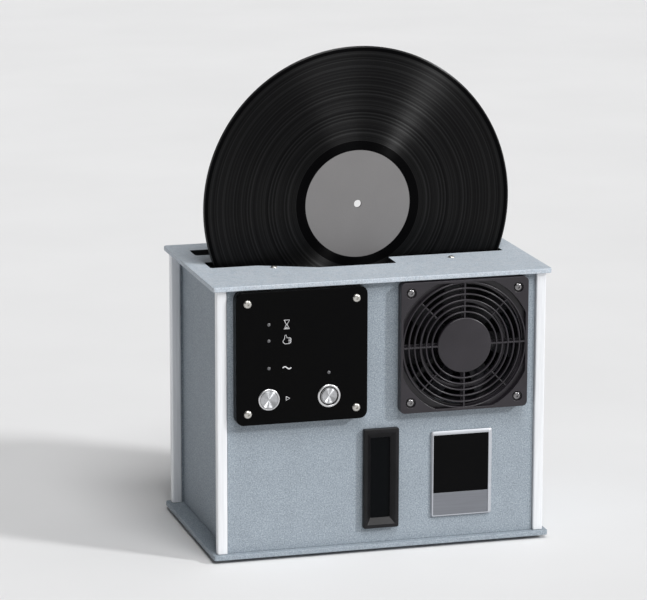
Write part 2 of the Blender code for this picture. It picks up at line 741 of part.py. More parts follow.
def bath_tub(surface):
    """The trough under the slot, with a flange that screws to the top plate."""
    wall = BATH_MARGIN + BATH_WALL
    outer = rounded(slot_corners(wall, wall, wall, BATH_END), BATH_CORNER, 1)
    tub = finished("bath_tub", prism(bmesh.new(), outer, "Z", 0, BATH_HEIGHT), surface, (0, 0, BATH_BOTTOM))
    reach = wall + BATH_FLANGE_REAR
    flange = rounded(slot_corners(wall + BATH_FLANGE_FRONT, reach, reach, BATH_END), BATH_CORNER, 1)
    ledge = prism(bmesh.new(), flange, "Z", BATH_HEIGHT - BATH_FLANGE_THICK, BATH_HEIGHT)
    add(tub, finished("bath_flange", ledge))
    inner = rounded(slot_corners(BATH_MARGIN, BATH_MARGIN, BATH_MARGIN, BATH_END - BATH_WALL), BATH_CORNER, 1)
    cut(tub, finished("bath_hollow", prism(bmesh.new(), inner, "Z", BATH_FLOOR, BATH_HEIGHT + OVERRUN)))
    holes = bmesh.new()
    through = BATH_FLOOR + OVERRUN
    spindle_places = [place for _, place in barrel_places()]
    cylinders(holes, SPINDLE_RADIUS + FIT_GAP, spindle_places, "Z", -OVERRUN, through)
    cylinders(holes, BATH_DRAIN_RADIUS, [(VALVE_X, VALVE_Y)], "Z", -OVERRUN, through, HOLE_STEPS)
    screw_low = BATH_HEIGHT - BATH_FLANGE_THICK - OVERRUN
    cylinders(holes, TOP_HOLE_RADIUS, screw_places(), "Z", screw_low, BATH_HEIGHT + OVERRUN, HOLE_STEPS)
    axles = [(RECORD_X + side * ROLLER_SPREAD, ROLLER_Z - BATH_BOTTOM) for side in (-1, 1)]
    reach = WELL_FRONT + BATH_FLANGE_FRONT
    cylinders(holes, AXLE_RADIUS + FIT_GAP, axles, "Y", -reach, reach)
    return cut(tub, finished("bath_holes", holes))


def barrel_places():
    """Where the four cleaning barrels stand, two before the record and two behind it."""
    return [
        (f"{depth}_{side}", (BARREL_MIDDLE_X + x * BARREL_SPACING / 2, RECORD_Y + y * BARREL_REACH))
        for depth, y in (("front", -1), ("rear", 1))
        for side, x in (("left", -1), ("right", 1))
    ]


def gear_outline(teeth, radius):
    """Straight-flanked teeth, with the first tooth's middle on the +X side."""
    module = 2 * radius / teeth
    tip = radius + TOOTH_ADDENDUM_SHARE * module
    root = radius - TOOTH_DEDENDUM_SHARE * module
    pitch = 2 * math.pi / teeth
    flanks = (
        (-TOOTH_ROOT_SHARE, root),
        (-TOOTH_TIP_SHARE, tip),
        (TOOTH_TIP_SHARE, tip),
        (TOOTH_ROOT_SHARE, root),
    )
    outline = []
    for tooth in range(teeth):
        for share, reach in flanks:
            angle = (tooth + share) * pitch
            outline.append((reach * math.cos(angle), reach * math.sin(angle)))
    return outline


def mesh_turn(place, turn, teeth, other, other_teeth):
    """The turn about Z that puts the other gear in mesh with this one."""
    direction = math.atan2(other[1] - place[1], other[0] - place[0])
    lead = (direction - turn) * teeth / (2 * math.pi)
    return direction + math.pi + (lead + 1 / 2) * 2 * math.pi / other_teeth


def gear_turns():
    """The rest turn of each spindle's gear and of the pinion between the rear two."""
    places = dict(barrel_places())
    pinion = (BARREL_MIDDLE_X, PINION_Y)
    rear_left = 0.0
    turn = mesh_turn(places["rear_left"], rear_left, GEAR_TEETH, pinion, PINION_TEETH)
    rear_right = mesh_turn(pinion, turn, PINION_TEETH, places["rear_right"], GEAR_TEETH)
    turns = {"rear_left": rear_left, "rear_right": rear_right, "pinion": turn}
    for side in ("left", "right"):
        rear = places["rear_" + side]
        front = places["front_" + side]
        turns["front_" + side] = mesh_turn(rear, turns["rear_" + side], GEAR_TEETH, front, GEAR_TEETH)
    return turns


def spindles(surface):
    """Four upright spindles with a gear each, and the barrels' seats above the bath floor."""
    floor_top = BATH_BOTTOM + BATH_FLOOR
    barrel_top = BARREL_BOTTOM + BARREL_LENGTH
    heights = [
        (0, GEAR_PLATE_BOTTOM),
        (SPINDLE_RADIUS, GEAR_PLATE_BOTTOM),
        (SPINDLE_RADIUS, floor_top + FIT_GAP),
        (SPINDLE_COLLAR, floor_top + FIT_GAP),
        (SPINDLE_COLLAR, BARREL_BOTTOM - FIT_GAP),
        (SPINDLE_RADIUS, BARREL_BOTTOM - FIT_GAP),
        (SPINDLE_RADIUS, barrel_top + SPINDLE_TOP - SPINDLE_RADIUS / 2),
        (SPINDLE_RADIUS / 2, barrel_top + SPINDLE_TOP),
        (0, barrel_top + SPINDLE_TOP),
    ]
    profile = [(radius, height - GEAR_BOTTOM) for radius, height in heights]
    turns = gear_turns()
    first = None
    for name, (x, y) in barrel_places():
        place = (x, y, GEAR_BOTTOM)
        if first is None:
            body = spun(bmesh.new(), profile, "Z", HOLE_STEPS)
            first = finished("spindle_" + name, body, surface, place)
            first.rotation_euler.z = turns[name]
            gear = prism(bmesh.new(), gear_outline(GEAR_TEETH, GEAR_RADIUS), "Z", 0, GEAR_THICK)
            settled(add(first, finished("spindle_gear", gear)))
        else:
            copy_of(first, "spindle_" + name, place, turns[name])


def barrels(surface):
    """Four cleaning barrels that slide down over the spindles."""
    bore = SPINDLE_RADIUS + FIT_GAP
    rim = BARREL_RADIUS - BARREL_END_ROUND
    profile = [
        (bore, 0),
        (rim, 0),
        (BARREL_RADIUS, BARREL_END_ROUND),
        (BARREL_RADIUS, BARREL_LENGTH - BARREL_END_ROUND),
        (rim, BARREL_LENGTH),
        (bore, BARREL_LENGTH),
    ]
    first = None
    for name, (x, y) in barrel_places():
        place = (x, y, BARREL_BOTTOM)
        if first is None:
            body = spun(bmesh.new(), profile, "Z", ROUND_STEPS, closed=True)
            first = finished("barrel_" + name, body, surface, place)
        else:
            copy_of(first, "barrel_" + name, place)


def barrel_pinion(surface):
    outline = gear_outline(PINION_TEETH, PINION_RADIUS)
    gear = prism(bmesh.new(), outline, "Z", 0, GEAR_THICK)
    pinion = finished("drive_pinion", gear, surface, (BARREL_MIDDLE_X, PINION_Y, GEAR_BOTTOM))
    pinion.rotation_euler.z = gear_turns()["pinion"]
    end = GEAR_PLATE_BOTTOM - GEAR_BOTTOM - PINION_SHAFT_LENGTH
    shaft = cylinders(bmesh.new(), PINION_SHAFT_RADIUS, [(0, 0)], "Z", end, GEAR_THICK / 2)
    return add(pinion, finished("pinion_shaft", shaft))


def barrel_motor(surface):
    """The motor under the gear plate, with a bore for the pinion's shaft."""
    top = GEAR_PLATE_BOTTOM - FIT_GAP
    bore = PINION_SHAFT_RADIUS + FIT_GAP
    rim = BARREL_MOTOR_RADIUS - MOTOR_EDGE
    profile = [
        (0, -BARREL_MOTOR_LENGTH),
        (rim, -BARREL_MOTOR_LENGTH),
        (BARREL_MOTOR_RADIUS, MOTOR_EDGE - BARREL_MOTOR_LENGTH),
        (BARREL_MOTOR_RADIUS, -MOTOR_EDGE),
        (rim, 0),
        (bore, 0),
        (bore, -PINION_SHAFT_LENGTH - FIT_GAP),
        (0, -PINION_SHAFT_LENGTH - FIT_GAP),
    ]
    body = spun(bmesh.new(), profile, "Z", ROUND_STEPS)
    return finished("barrel_motor", body, surface, (BARREL_MIDDLE_X, PINION_Y, top))


def gear_plate(surface):
    """The plate that carries the spindles' lower ends and the motor, on pillars from the bath floor."""
    module = 2 * GEAR_RADIUS / GEAR_TEETH
    tip = GEAR_RADIUS + TOOTH_ADDENDUM_SHARE * module
    half_width = BARREL_SPACING / 2 + tip
    front = RECORD_Y - BARREL_REACH - tip
    rear = PINION_Y + BARREL_MOTOR_RADIUS / 2
    outline = rounded(
        [
            (-half_width, front),
            (half_width, front),
            (half_width, rear),
            (-half_width, rear),
        ],
        GEAR_PLATE_CORNER,
    )
    base = prism(bmesh.new(), outline, "Z", 0, GEAR_PLATE_THICK)
    made = finished("gear_plate", base, surface, (BARREL_MIDDLE_X, 0, GEAR_PLATE_BOTTOM))
    reach = half_width - GEAR_PILLAR_INSET
    places = [(x, y) for x in (-reach, reach) for y in (front + GEAR_PILLAR_INSET, PINION_Y)]
    high = BATH_BOTTOM - FIT_GAP - GEAR_PLATE_BOTTOM
    pillars = cylinders(bmesh.new(), GEAR_PILLAR_RADIUS, places, "Z", GEAR_PLATE_THICK / 2, high, HOLE_STEPS)
    add(made, finished("gear_pillars", pillars))
    holes = bmesh.new()
    spindle_holes = [(x - BARREL_MIDDLE_X, y) for _, (x, y) in barrel_places()]
    high = GEAR_PLATE_THICK + OVERRUN
    cylinders(holes, SPINDLE_RADIUS + FIT_GAP, spindle_holes, "Z", -OVERRUN, high)
    cylinders(holes, PINION_SHAFT_RADIUS + FIT_GAP, [(0, PINION_Y)], "Z", -OVERRUN, high)
    return cut(made, finished("gear_plate_holes", holes))


def roller(name, surface, x, front, rear):
    """A grooved roller on an axle between two depths, turning about Y."""
    flange = ROLLER_RADIUS + ROLLER_FLANGE
    profile = [
        (0, front),
        (AXLE_RADIUS, front),
        (AXLE_RADIUS, -ROLLER_WIDTH / 2),
        (flange, -ROLLER_WIDTH / 2),
        (flange, -ROLLER_GROOVE / 2),
        (ROLLER_RADIUS, -ROLLER_SEAT / 2),
        (ROLLER_RADIUS, ROLLER_SEAT / 2),
        (flange, ROLLER_GROOVE / 2),
        (flange, ROLLER_WIDTH / 2),
        (AXLE_RADIUS, ROLLER_WIDTH / 2),
        (AXLE_RADIUS, rear),
        (0, rear),
    ]
    body = spun(bmesh.new(), profile, "Y", ROUND_STEPS)
    return finished(name, body, surface, (x, RECORD_Y, ROLLER_Z))


def rollers(surface):
    wall = BATH_MARGIN + BATH_WALL
    left_front = -SLOT_FRONT_LEFT - wall - RECORD_Y
    right_front = -SLOT_FRONT_RIGHT - wall - RECORD_Y
    rear = BATH_REAR + BATH_WALL - RECORD_Y
    roller("idler_roller", surface, RECORD_X - ROLLER_SPREAD, left_front, rear)
    driven = rear + RECORD_MOTOR_SOCKET
    roller("drive_roller", surface, RECORD_X + ROLLER_SPREAD, right_front, driven)


def record_motor(surface):
    """The motor behind the bath that turns the drive roller's axle."""
    bore = AXLE_RADIUS + FIT_GAP
    rim = RECORD_MOTOR_RADIUS - MOTOR_EDGE
    profile = [
        (0, RECORD_MOTOR_SOCKET + FIT_GAP),
        (bore, RECORD_MOTOR_SOCKET + FIT_GAP),
        (bore, 0),
        (rim, 0),
        (RECORD_MOTOR_RADIUS, MOTOR_EDGE),
        (RECORD_MOTOR_RADIUS, RECORD_MOTOR_LENGTH - MOTOR_EDGE),
        (rim, RECORD_MOTOR_LENGTH),
        (0, RECORD_MOTOR_LENGTH),
    ]
    body = spun(bmesh.new(), profile, "Y", ROUND_STEPS)
    place = (RECORD_X + ROLLER_SPREAD, BATH_REAR + BATH_WALL + FIT_GAP, ROLLER_Z)
    return finished("record_motor", body, surface, place)


def vinyl_record(surface):
    """The record: a thick label area and a thinner grooved band."""
    groove = RECORD_HALF - RECORD_RELIEF
    front = [
        (RECORD_HOLE_RADIUS, -RECORD_HALF),
        (RECORD_LABEL_RADIUS, -RECORD_HALF),
        (RECORD_LABEL_RADIUS + RECORD_LABEL_STEP, -groove),
        (RECORD_RADIUS, -groove),
    ]
    rear = [(radius, -along) for radius, along in reversed(front)]
    body = spun(bmesh.new(), front + rear, "Y", RECORD_STEPS, closed=True)
    return finished("vinyl_record", body, surface, (RECORD_X, RECORD_Y, RECORD_Z))


def wiper(name, surface, lip, wall):
    """A rubber blade along a radius of the record, from the bath's wall to the record's face."""
    inward = math.copysign(WIPER_BASE_THICK, lip - wall)
    base = wall + inward
    outline = [
        (wall, -WIPER_BASE / 2),
        (wall, WIPER_BASE / 2),
        (base, WIPER_BASE / 2),
        (lip, WIPER_LIP / 2),
        (lip, -WIPER_LIP / 2),
        (base, -WIPER_BASE / 2),
    ]
    blade = prism(bmesh.new(), outline, "X", WIPER_INNER, WIPER_OUTER)
    made = finished(name, blade, surface, (RECORD_X, RECORD_Y, RECORD_Z))
    made.rotation_euler.y = math.pi / 2 - WIPER_ANGLE
    return made


def wipers(surface):
    lip = RECORD_HALF + FIT_GAP
    front = -BATH_RIGHT_FRONT + FIT_GAP - RECORD_Y
    rear = BATH_REAR - FIT_GAP - RECORD_Y
    wiper("wiper_blade_front", surface, -lip, front)
    wiper("wiper_blade_rear", surface, lip, rear)


def transducer(surface):
    step = TRANSDUCER_LENGTH / 3
    profile = [
        (0, -TRANSDUCER_LENGTH),
        (TRANSDUCER_RADIUS, -TRANSDUCER_LENGTH),
        (TRANSDUCER_RADIUS, -2 * step),
        (TRANSDUCER_NECK, -step),
        (TRANSDUCER_RADIUS, -step / 2),
        (TRANSDUCER_RADIUS, 0),
        (0, 0),
    ]
    body = spun(bmesh.new(), profile, "Z", ROUND_STEPS)
    place = (TRANSDUCER_X, RECORD_Y, BATH_BOTTOM - FIT_GAP)
    return finished("ultrasonic_transducer", body, surface, place)


def drain_valve(surface):
    """The valve between the bath's drain hole and the open tank."""
    low = TANK_TOP + FIT_GAP
    length = BATH_BOTTOM - FIT_GAP - low
    coil_length = VALVE_COIL_SHARE * length
    coil_low = (length - coil_length) / 2
    coil_high = coil_low + coil_length
    profile = [
        (VALVE_BORE, 0),
        (VALVE_RADIUS, 0),
        (VALVE_RADIUS, coil_low),
        (VALVE_COIL_RADIUS, coil_low),
        (VALVE_COIL_RADIUS, coil_high),
        (VALVE_RADIUS, coil_high),
        (VALVE_RADIUS, length),
        (VALVE_BORE, length),
    ]
    body = spun(bmesh.new(), profile, "Z", SMALL_STEPS, closed=True)
    return finished("drain_valve", body, surface, (VALVE_X, VALVE_Y, low))


def water_tank(surface):
    outer = rectangle(TANK_WIDTH, TANK_DEPTH, TANK_CORNER)
    inner = rectangle(TANK_WIDTH - 2 * TANK_WALL, TANK_DEPTH - 2 * TANK_WALL, TANK_CORNER - TANK_WALL)
    place = (WINDOW_X, TANK_Y, BASE_TOP + FIT_GAP)
    tank = finished("water_tank", prism(bmesh.new(), outer, "Z", 0, TANK_HEIGHT), surface, place)
    hollow = prism(bmesh.new(), inner, "Z", TANK_WALL, TANK_HEIGHT + OVERRUN)
    return cut(tank, finished("tank_hollow", hollow))


def circulation_pump(surface):
    """A round pump body lying along Y on a foot, with a port on top."""
    axis_height = PUMP_FOOT_HEIGHT + PUMP_RADIUS
    half = PUMP_LENGTH / 2
    rim = PUMP_RADIUS - MOTOR_EDGE
    profile = [
        (0, -half),
        (rim, -half),
        (PUMP_RADIUS, MOTOR_EDGE - half),
        (PUMP_RADIUS, half - MOTOR_EDGE),
        (rim, half),
        (0, half),
    ]
    place = (PUMP_X, PUMP_Y, BASE_TOP + FIT_GAP + axis_height)
    pump = finished("circulation_pump", spun(bmesh.new(), profile, "Y", ROUND_STEPS), surface, place)
    foot = rectangle(PUMP_FOOT_WIDTH, PUMP_LENGTH - 2 * MOTOR_EDGE, MOTOR_EDGE)
    slab = prism(bmesh.new(), foot, "Z", -axis_height, -PUMP_RADIUS / 2)
    add(pump, finished("pump_foot", slab))
    top = PUMP_RADIUS + PUMP_PORT_LENGTH
    port = cylinders(bmesh.new(), PUMP_PORT_RADIUS, [(0, 0)], "Z", PUMP_RADIUS / 2, top)
    return add(pump, finished("pump_port", port))


def power_board(surface):
    """The circuit board on four pillars, with its transformer."""
    low = BASE_TOP + FIT_GAP
    outline = rectangle(POWER_BOARD_WIDTH, POWER_BOARD_DEPTH, POWER_BOARD_PILLAR_RADIUS)
    top = POWER_BOARD_PILLAR + BOARD_THICK
    sheet = prism(bmesh.new(), outline, "Z", POWER_BOARD_PILLAR, top)
    board = finished("power_board", sheet, surface, (POWER_BOARD_X, 0, low))
    inset = 2 * POWER_BOARD_PILLAR_RADIUS
    reach = corners_at(POWER_BOARD_WIDTH / 2 - inset, POWER_BOARD_DEPTH / 2 - inset)
    middle = top - BOARD_THICK / 2
    pillars = cylinders(bmesh.new(), POWER_BOARD_PILLAR_RADIUS, reach, "Z", 0, middle, HOLE_STEPS)
    add(board, finished("board_pillars", pillars))
    block = rectangle(TRANSFORMER_SIDE, TRANSFORMER_SIDE, MOTOR_EDGE)
    core = prism(bmesh.new(), block, "Z", middle, top + TRANSFORMER_HEIGHT)
    return add(board, finished("board_transformer", core))


def filter_box(surface):
    """The open box below the filter well."""
    wall = FILTER_MARGIN + FILTER_WALL
    outer = rounded(filter_well(wall, BATH_END), FILTER_BOX_CORNER)
    place = (0, 0, BATH_TOP - FILTER_BOX_HEIGHT)
    box = finished("filter_box", prism(bmesh.new(), outer, "Z", 0, FILTER_BOX_HEIGHT), surface, place)
    inner = rounded(filter_well(FILTER_MARGIN, BATH_END - FILTER_WALL), FILTER_BOX_CORNER - FILTER_WALL)
    high = FILTER_BOX_HEIGHT + OVERRUN
    cut(box, finished("filter_hollow", prism(bmesh.new(), inner, "Z", FILTER_WALL, high)))
    port = cylinders(bmesh.new(), FILTER_PORT_RADIUS, [filter_port()], "Z", -OVERRUN, FILTER_WALL + OVERRUN)
    return cut(box, finished("filter_port", port))


def filter_port():
    return (FILTER_WELL_RIGHT / 2 - SLOT_HALF_LENGTH / 2, FILTER_WELL_FRONT + FILTER_WELL_DEPTH / 2)


def filter_foam(surface):
    low = BATH_TOP - FILTER_BOX_HEIGHT + FILTER_WALL + FIT_GAP
    high = PLATE_UNDERSIDE - FILTER_FOAM_DROP
    margin = FILTER_MARGIN - FIT_GAP
    outline = rounded(filter_well(margin, BATH_END - FILTER_WALL - FIT_GAP), FILTER_FOAM_CORNER)
    block = prism(bmesh.new(), outline, "Z", 0, high - low)
    return finished("filter_foam", block, surface, (0, 0, low))


def control_housing(surface):
    """The shallow moulded tray on the front panel, with a boss for each of the face's screws."""
    back = -FIT_GAP
    front = FRONT_FACE - HOUSING_FRONT
    outer = rectangle(CONTROL_SIDE, CONTROL_SIDE, CONTROL_CORNER, WIDE_CORNER_STEPS)
    place = (CONTROL_X, -FRONT_FACE, CONTROL_Z)
    tray = finished("control_housing", prism(bmesh.new(), outer, "Y", back, front), surface, place)
    side = CONTROL_SIDE - 2 * CONTROL_WALL
    inner = rectangle(side, side, CONTROL_CORNER - CONTROL_WALL)
    hollow = prism(bmesh.new(), inner, "Y", back - CONTROL_BACK, front - OVERRUN)
    cut(tray, finished("control_hollow", hollow))
    places = corners_at(CONTROL_SCREW_REACH, CONTROL_SCREW_REACH)
    bosses = cylinders(bmesh.new(), CONTROL_BOSS_RADIUS, places, "Y", back - CONTROL_BACK / 2, front)
    add(tray, finished("control_bosses", bosses))
    low = front - OVERRUN
    holes = cylinders(bmesh.new(), CONTROL_SCREW_RADIUS, places, "Y", low, back - CONTROL_BACK, HOLE_STEPS)
    for x, radius in switch_holes():
        centre = [(x, BUTTON_Z - CONTROL_Z)]
        cylinders(holes, radius, centre, "Y", OVERRUN, back - CONTROL_BACK - OVERRUN, ROUND_STEPS)
    return cut(tray, finished("control_holes", holes))


def switch_holes():
    """Each switch's place across the control panel, with the radius of its hole."""
    return [
        (START_X - CONTROL_X, START_RING_RADIUS - RING_LIP + FIT_GAP),
        (POWER_X - CONTROL_X, POWER_RING_RADIUS - RING_LIP + FIT_GAP),
    ]


def led_places():
    """The indicator lamps, measured from the control panel's centre."""
    column = [(LED_X_SHARE * CONTROL_SIDE, share * CONTROL_SIDE) for share in LED_RISE_SHARES]
    return column + [(POWER_X - CONTROL_X, -LED_POWER_DROP_SHARE * CONTROL_SIDE)]


def control_face(surface):
    """The black cover plate, with holes for the switches, lamps and screws."""
    edge = CONTROL_CORNER - FACE_CHAMFER
    side = CONTROL_SIDE - 2 * FACE_CHAMFER
    bevelled = rectangle(side, side, edge, WIDE_CORNER_STEPS)
    outer = rectangle(CONTROL_SIDE, CONTROL_SIDE, CONTROL_CORNER, WIDE_CORNER_STEPS)
    sections = [(outer, 0), (outer, FACE_CHAMFER - FACE_THICK), (bevelled, -FACE_THICK)]
    place = (CONTROL_X, FACE_THICK - FACE_FRONT, CONTROL_Z)
    face = finished("control_face", loft(bmesh.new(), sections, "Y"), surface, place)
    low = -FACE_THICK - OVERRUN
    holes = cylinders(bmesh.new(), LED_RADIUS + FIT_GAP, led_places(), "Y", low, OVERRUN, HOLE_STEPS)
    screws = corners_at(CONTROL_SCREW_REACH, CONTROL_SCREW_REACH)
    cylinders(holes, CONTROL_SCREW_RADIUS, screws, "Y", low, OVERRUN, HOLE_STEPS)
    for x, radius in switch_holes():
        cylinders(holes, radius, [(x, BUTTON_Z - CONTROL_Z)], "Y", low, OVERRUN, ROUND_STEPS)
    return cut(face, finished("face_holes", holes))


def control_board(surface):
    """The small circuit board behind the face, with the four indicator lamps standing on it."""
    places = led_places()
    low = min(up for _, up in places) - BOARD_MARGIN
    high = max(up for _, up in places) + BOARD_MARGIN
    left = min(across for across, _ in places) - BOARD_MARGIN
    right = max(across for across, _ in places) + BOARD_MARGIN
    outline = rounded([(left, low), (right, low), (right, high), (left, high)], LED_RADIUS)
    back = -FIT_GAP - CONTROL_BACK - FIT_GAP
    sheet = prism(bmesh.new(), outline, "Y", back, back - BOARD_THICK)
    board = finished("control_board", sheet, surface, (CONTROL_X, -FRONT_FACE, CONTROL_Z))
    tip = -CONTROL_DEPTH - LED_RAISE
    lamps = bmesh.new()
    for across, up in places:
        sections = [
            ([(across + x, up + y) for x, y in circle(radius, HOLE_STEPS)], along)
            for radius, along in (
                (LED_RADIUS, back - BOARD_THICK / 2),
                (LED_RADIUS, tip + LED_RAISE),
                (LED_RADIUS / 2, tip),
            )
        ]
        loft(lamps, sections, "Y")
    return add(board, finished("board_lamps", lamps))


def switch(name, cap_name, surface, x, ring_radius, cap_radius):
    """A panel switch: a fixed ring and barrel, and a cap with a dished face that slides in."""
    barrel = ring_radius - RING_LIP
    bore = cap_radius + FIT_GAP
    cap_front = -RING_RAISE - CAP_RAISE
    cap_rear = cap_front + CAP_DEPTH
    floor = cap_rear + BUTTON_TRAVEL + FIT_GAP
    profile = [
        (0, SWITCH_LENGTH),
        (barrel, SWITCH_LENGTH),
        (barrel, -FIT_GAP),
        (ring_radius, -FIT_GAP),
        (ring_radius, RING_ROUND - RING_RAISE),
        (ring_radius - RING_ROUND, -RING_RAISE),
        (bore, -RING_RAISE),
        (bore, floor),
        (0, floor),
    ]
    place = (x, -FACE_FRONT, BUTTON_Z)
    finished(name, spun(bmesh.new(), profile, "Y", ROUND_STEPS), surface, place)
    cap = [
        (0, cap_front + CAP_DISH),
        (cap_radius - CAP_EDGE, cap_front),
        (cap_radius, cap_front + CAP_EDGE),
        (cap_radius, cap_rear),
        (0, cap_rear),
    ]
    return finished(cap_name, spun(bmesh.new(), cap, "Y", ROUND_STEPS), surface, place)


def clipped_circle(radius, half):
    """A circle cut off by the four sides of a square."""
    start = math.acos(half / radius)
    sweep = math.pi / 2 - 2 * start
    outline = []
    for quarter in range(4):
        for step in range(WIDE_CORNER_STEPS + 1):
            angle = quarter * math.pi / 2 + start + sweep * step / WIDE_CORNER_STEPS
            outline.append((radius * math.cos(angle), radius * math.sin(angle)))
    return outline


def cross(reach, width):
    """An upright cross, from side to side of a square."""
    arm = width / 2
    return [
        (-arm, -reach),
        (arm, -reach),
        (arm, -arm),
        (reach, -arm),
        (reach, arm),
        (arm, arm),
        (arm, reach),
        (-arm, reach),
        (-arm, arm),
        (-reach, arm),
        (-reach, -arm),
        (-arm, -arm),
    ]


def square_ring(bm, radius, width, front, depth):
    """A flat ring with a square section."""
    inner = radius - width / 2
    outer = radius + width / 2
    profile = [(inner, front), (outer, front), (outer, front + depth), (inner, front + depth)]
    return spun(bm, profile, "Y", FAN_STEPS, closed=True)


def fan_guard(surface, place):
    """The finger guard: a square frame, concentric rings, a hub disc, long spokes and short braces."""
    outer = rectangle(GUARD_SIDE, GUARD_SIDE, GUARD_CORNER)
    guard = finished("fan_guard", prism(bmesh.new(), outer, "Y", 0, -GUARD_DEPTH), surface, place)
    opening = clipped_circle(GUARD_ROUND_SHARE * GUARD_OPENING, GUARD_OPENING)
    hollow = prism(bmesh.new(), opening, "Y", OVERRUN, -GUARD_DEPTH - OVERRUN)
    cut(guard, finished("guard_opening", hollow))
    for index in range(GUARD_RING_COUNT):
        radius = (GUARD_RING_FIRST_SHARE + index * GUARD_RING_PITCH_SHARE) * GUARD_OPENING
        front = GUARD_RING_DROP - GUARD_DEPTH
        ring = square_ring(bmesh.new(), radius, GUARD_RING_WIDTH, front, GUARD_RING_DEPTH)
        add(guard, finished(f"guard_ring_{index + 1}", ring))
    reach = GUARD_SIDE / 2 - GUARD_CORNER / 2
    spoke_front = GUARD_SPOKE_DROP - GUARD_DEPTH
    spoke_rear = spoke_front + GUARD_RING_DEPTH
    spokes = prism(bmesh.new(), cross(reach, GUARD_SPOKE_WIDTH), "Y", spoke_front, spoke_rear)
    add(guard, finished("guard_spokes", spokes))
    arm = GUARD_SPOKE_WIDTH / 2
    inner = GUARD_BRACE_INNER_SHARE * GUARD_OPENING
    end = GUARD_OPENING - GUARD_BRACE_GAP
    length = [(inner, -arm), (end, -arm), (end, arm), (inner, arm)]
    braces = bmesh.new()
    for quarter in range(4):
        turn = math.pi / 4 + quarter * math.pi / 2
        prism(braces, rotated(length, turn), "Y", spoke_front, spoke_rear)
    add(guard, finished("guard_braces", braces))
    hub_front = GUARD_HUB_DROP - GUARD_DEPTH
    hub_radius = GUARD_HUB_SHARE * GUARD_OPENING
    hub = cylinders(bmesh.new(), hub_radius, [(0, 0)], "Y", hub_front, hub_front + GUARD_HUB_DEPTH, FAN_STEPS)
    add(guard, finished("guard_hub", hub))
    places = corners_at(GUARD_SCREW_REACH, GUARD_SCREW_REACH)
    bores = cylinders(
        bmesh.new(), GUARD_BORE_RADIUS, places, "Y", -GUARD_DEPTH - OVERRUN, GUARD_BORE_DEPTH - GUARD_DEPTH
    )
    cut(guard, finished("guard_counterbores", bores))
    holes = cylinders(bmesh.new(), FAN_SCREW_RADIUS, places, "Y", -GUARD_DEPTH - OVERRUN, OVERRUN, HOLE_STEPS)
    return cut(guard, finished("guard_screw_holes", holes))


def filter_frame(surface, place):
    """The frame between the guard and the front panel, with broad ribs and a ring."""
    outer = rectangle(GUARD_SIDE, GUARD_SIDE, GUARD_CORNER)
    frame = finished("fan_filter_frame", prism(bmesh.new(), outer, "Y", 0, -GUARD_DEPTH), surface, place)
    opening = cylinders(
        bmesh.new(), FRAME_OPENING_RADIUS, [(0, 0)], "Y", OVERRUN, -GUARD_DEPTH - OVERRUN, FAN_STEPS
    )
    cut(frame, finished("frame_opening", opening))
    reach = (FRAME_OPENING_RADIUS + GUARD_SIDE / 2) / 2
    front = -(GUARD_DEPTH + FRAME_RIB_DEPTH) / 2
    ribs = prism(bmesh.new(), cross(reach, FRAME_RIB_WIDTH), "Y", front, front + FRAME_RIB_DEPTH)
    add(frame, finished("frame_ribs", ribs))
    lift = GUARD_RING_DROP
    depth = FRAME_RIB_DEPTH
    ring = square_ring(bmesh.new(), FRAME_RING_SHARE * GUARD_OPENING, FRAME_RING_WIDTH, front + lift, depth)
    add(frame, finished("frame_ring", ring))
    hub_radius = FRAME_HUB_SHARE * GUARD_OPENING
    hub = cylinders(bmesh.new(), hub_radius, [(0, 0)], "Y", front - lift, front + depth - lift, ROUND_STEPS)
    add(frame, finished("frame_hub", hub))
    places = corners_at(GUARD_SCREW_REACH, GUARD_SCREW_REACH)
    holes = cylinders(bmesh.new(), FAN_SCREW_RADIUS, places, "Y", OVERRUN, -GUARD_DEPTH - OVERRUN, HOLE_STEPS)
    return cut(frame, finished("frame_screw_holes", holes))


def fan_frame(surface, place):
    """A square fan body round a bore, with struts to a boss for the rotor."""
    outer = rectangle(FAN_SIDE, FAN_SIDE, FAN_CORNER)
    frame = finished("fan_frame", prism(bmesh.new(), outer, "Y", 0, FAN_DEPTH), surface, place)
    bore = cylinders(
        bmesh.new(), FAN_BORE_RADIUS, [(0, 0)], "Y", -OVERRUN, FAN_DEPTH + OVERRUN, FAN_STEPS
    )
    cut(frame, finished("fan_bore", bore))
    strut_low = FAN_DEPTH - FAN_STRUT_DEPTH
    boss_radius = FAN_BOSS_SHARE * FAN_BORE_RADIUS
    boss = cylinders(bmesh.new(), boss_radius, [(0, 0)], "Y", strut_low, FAN_DEPTH, ROUND_STEPS)
    add(frame, finished("fan_boss", boss))
    arm = FAN_STRUT_WIDTH / 2
    start = boss_radius / 2
    end = (FAN_BORE_RADIUS + FAN_SIDE / 2) / 2
    length = [(start, -arm), (end, -arm), (end, arm), (start, arm)]
    struts = bmesh.new()
    for index in range(FAN_STRUT_COUNT):
        turn = (index + 1 / 2) * 2 * math.pi / FAN_STRUT_COUNT
        prism(struts, rotated(length, turn), "Y", strut_low + FIT_GAP, FAN_DEPTH - FIT_GAP)
    add(frame, finished("fan_struts", struts))
    places = corners_at(GUARD_SCREW_REACH, GUARD_SCREW_REACH)
    holes = cylinders(bmesh.new(), FAN_SCREW_RADIUS, places, "Y", -OVERRUN, FAN_DEPTH + OVERRUN, HOLE_STEPS)
    return cut(frame, finished("fan_screw_holes", holes))


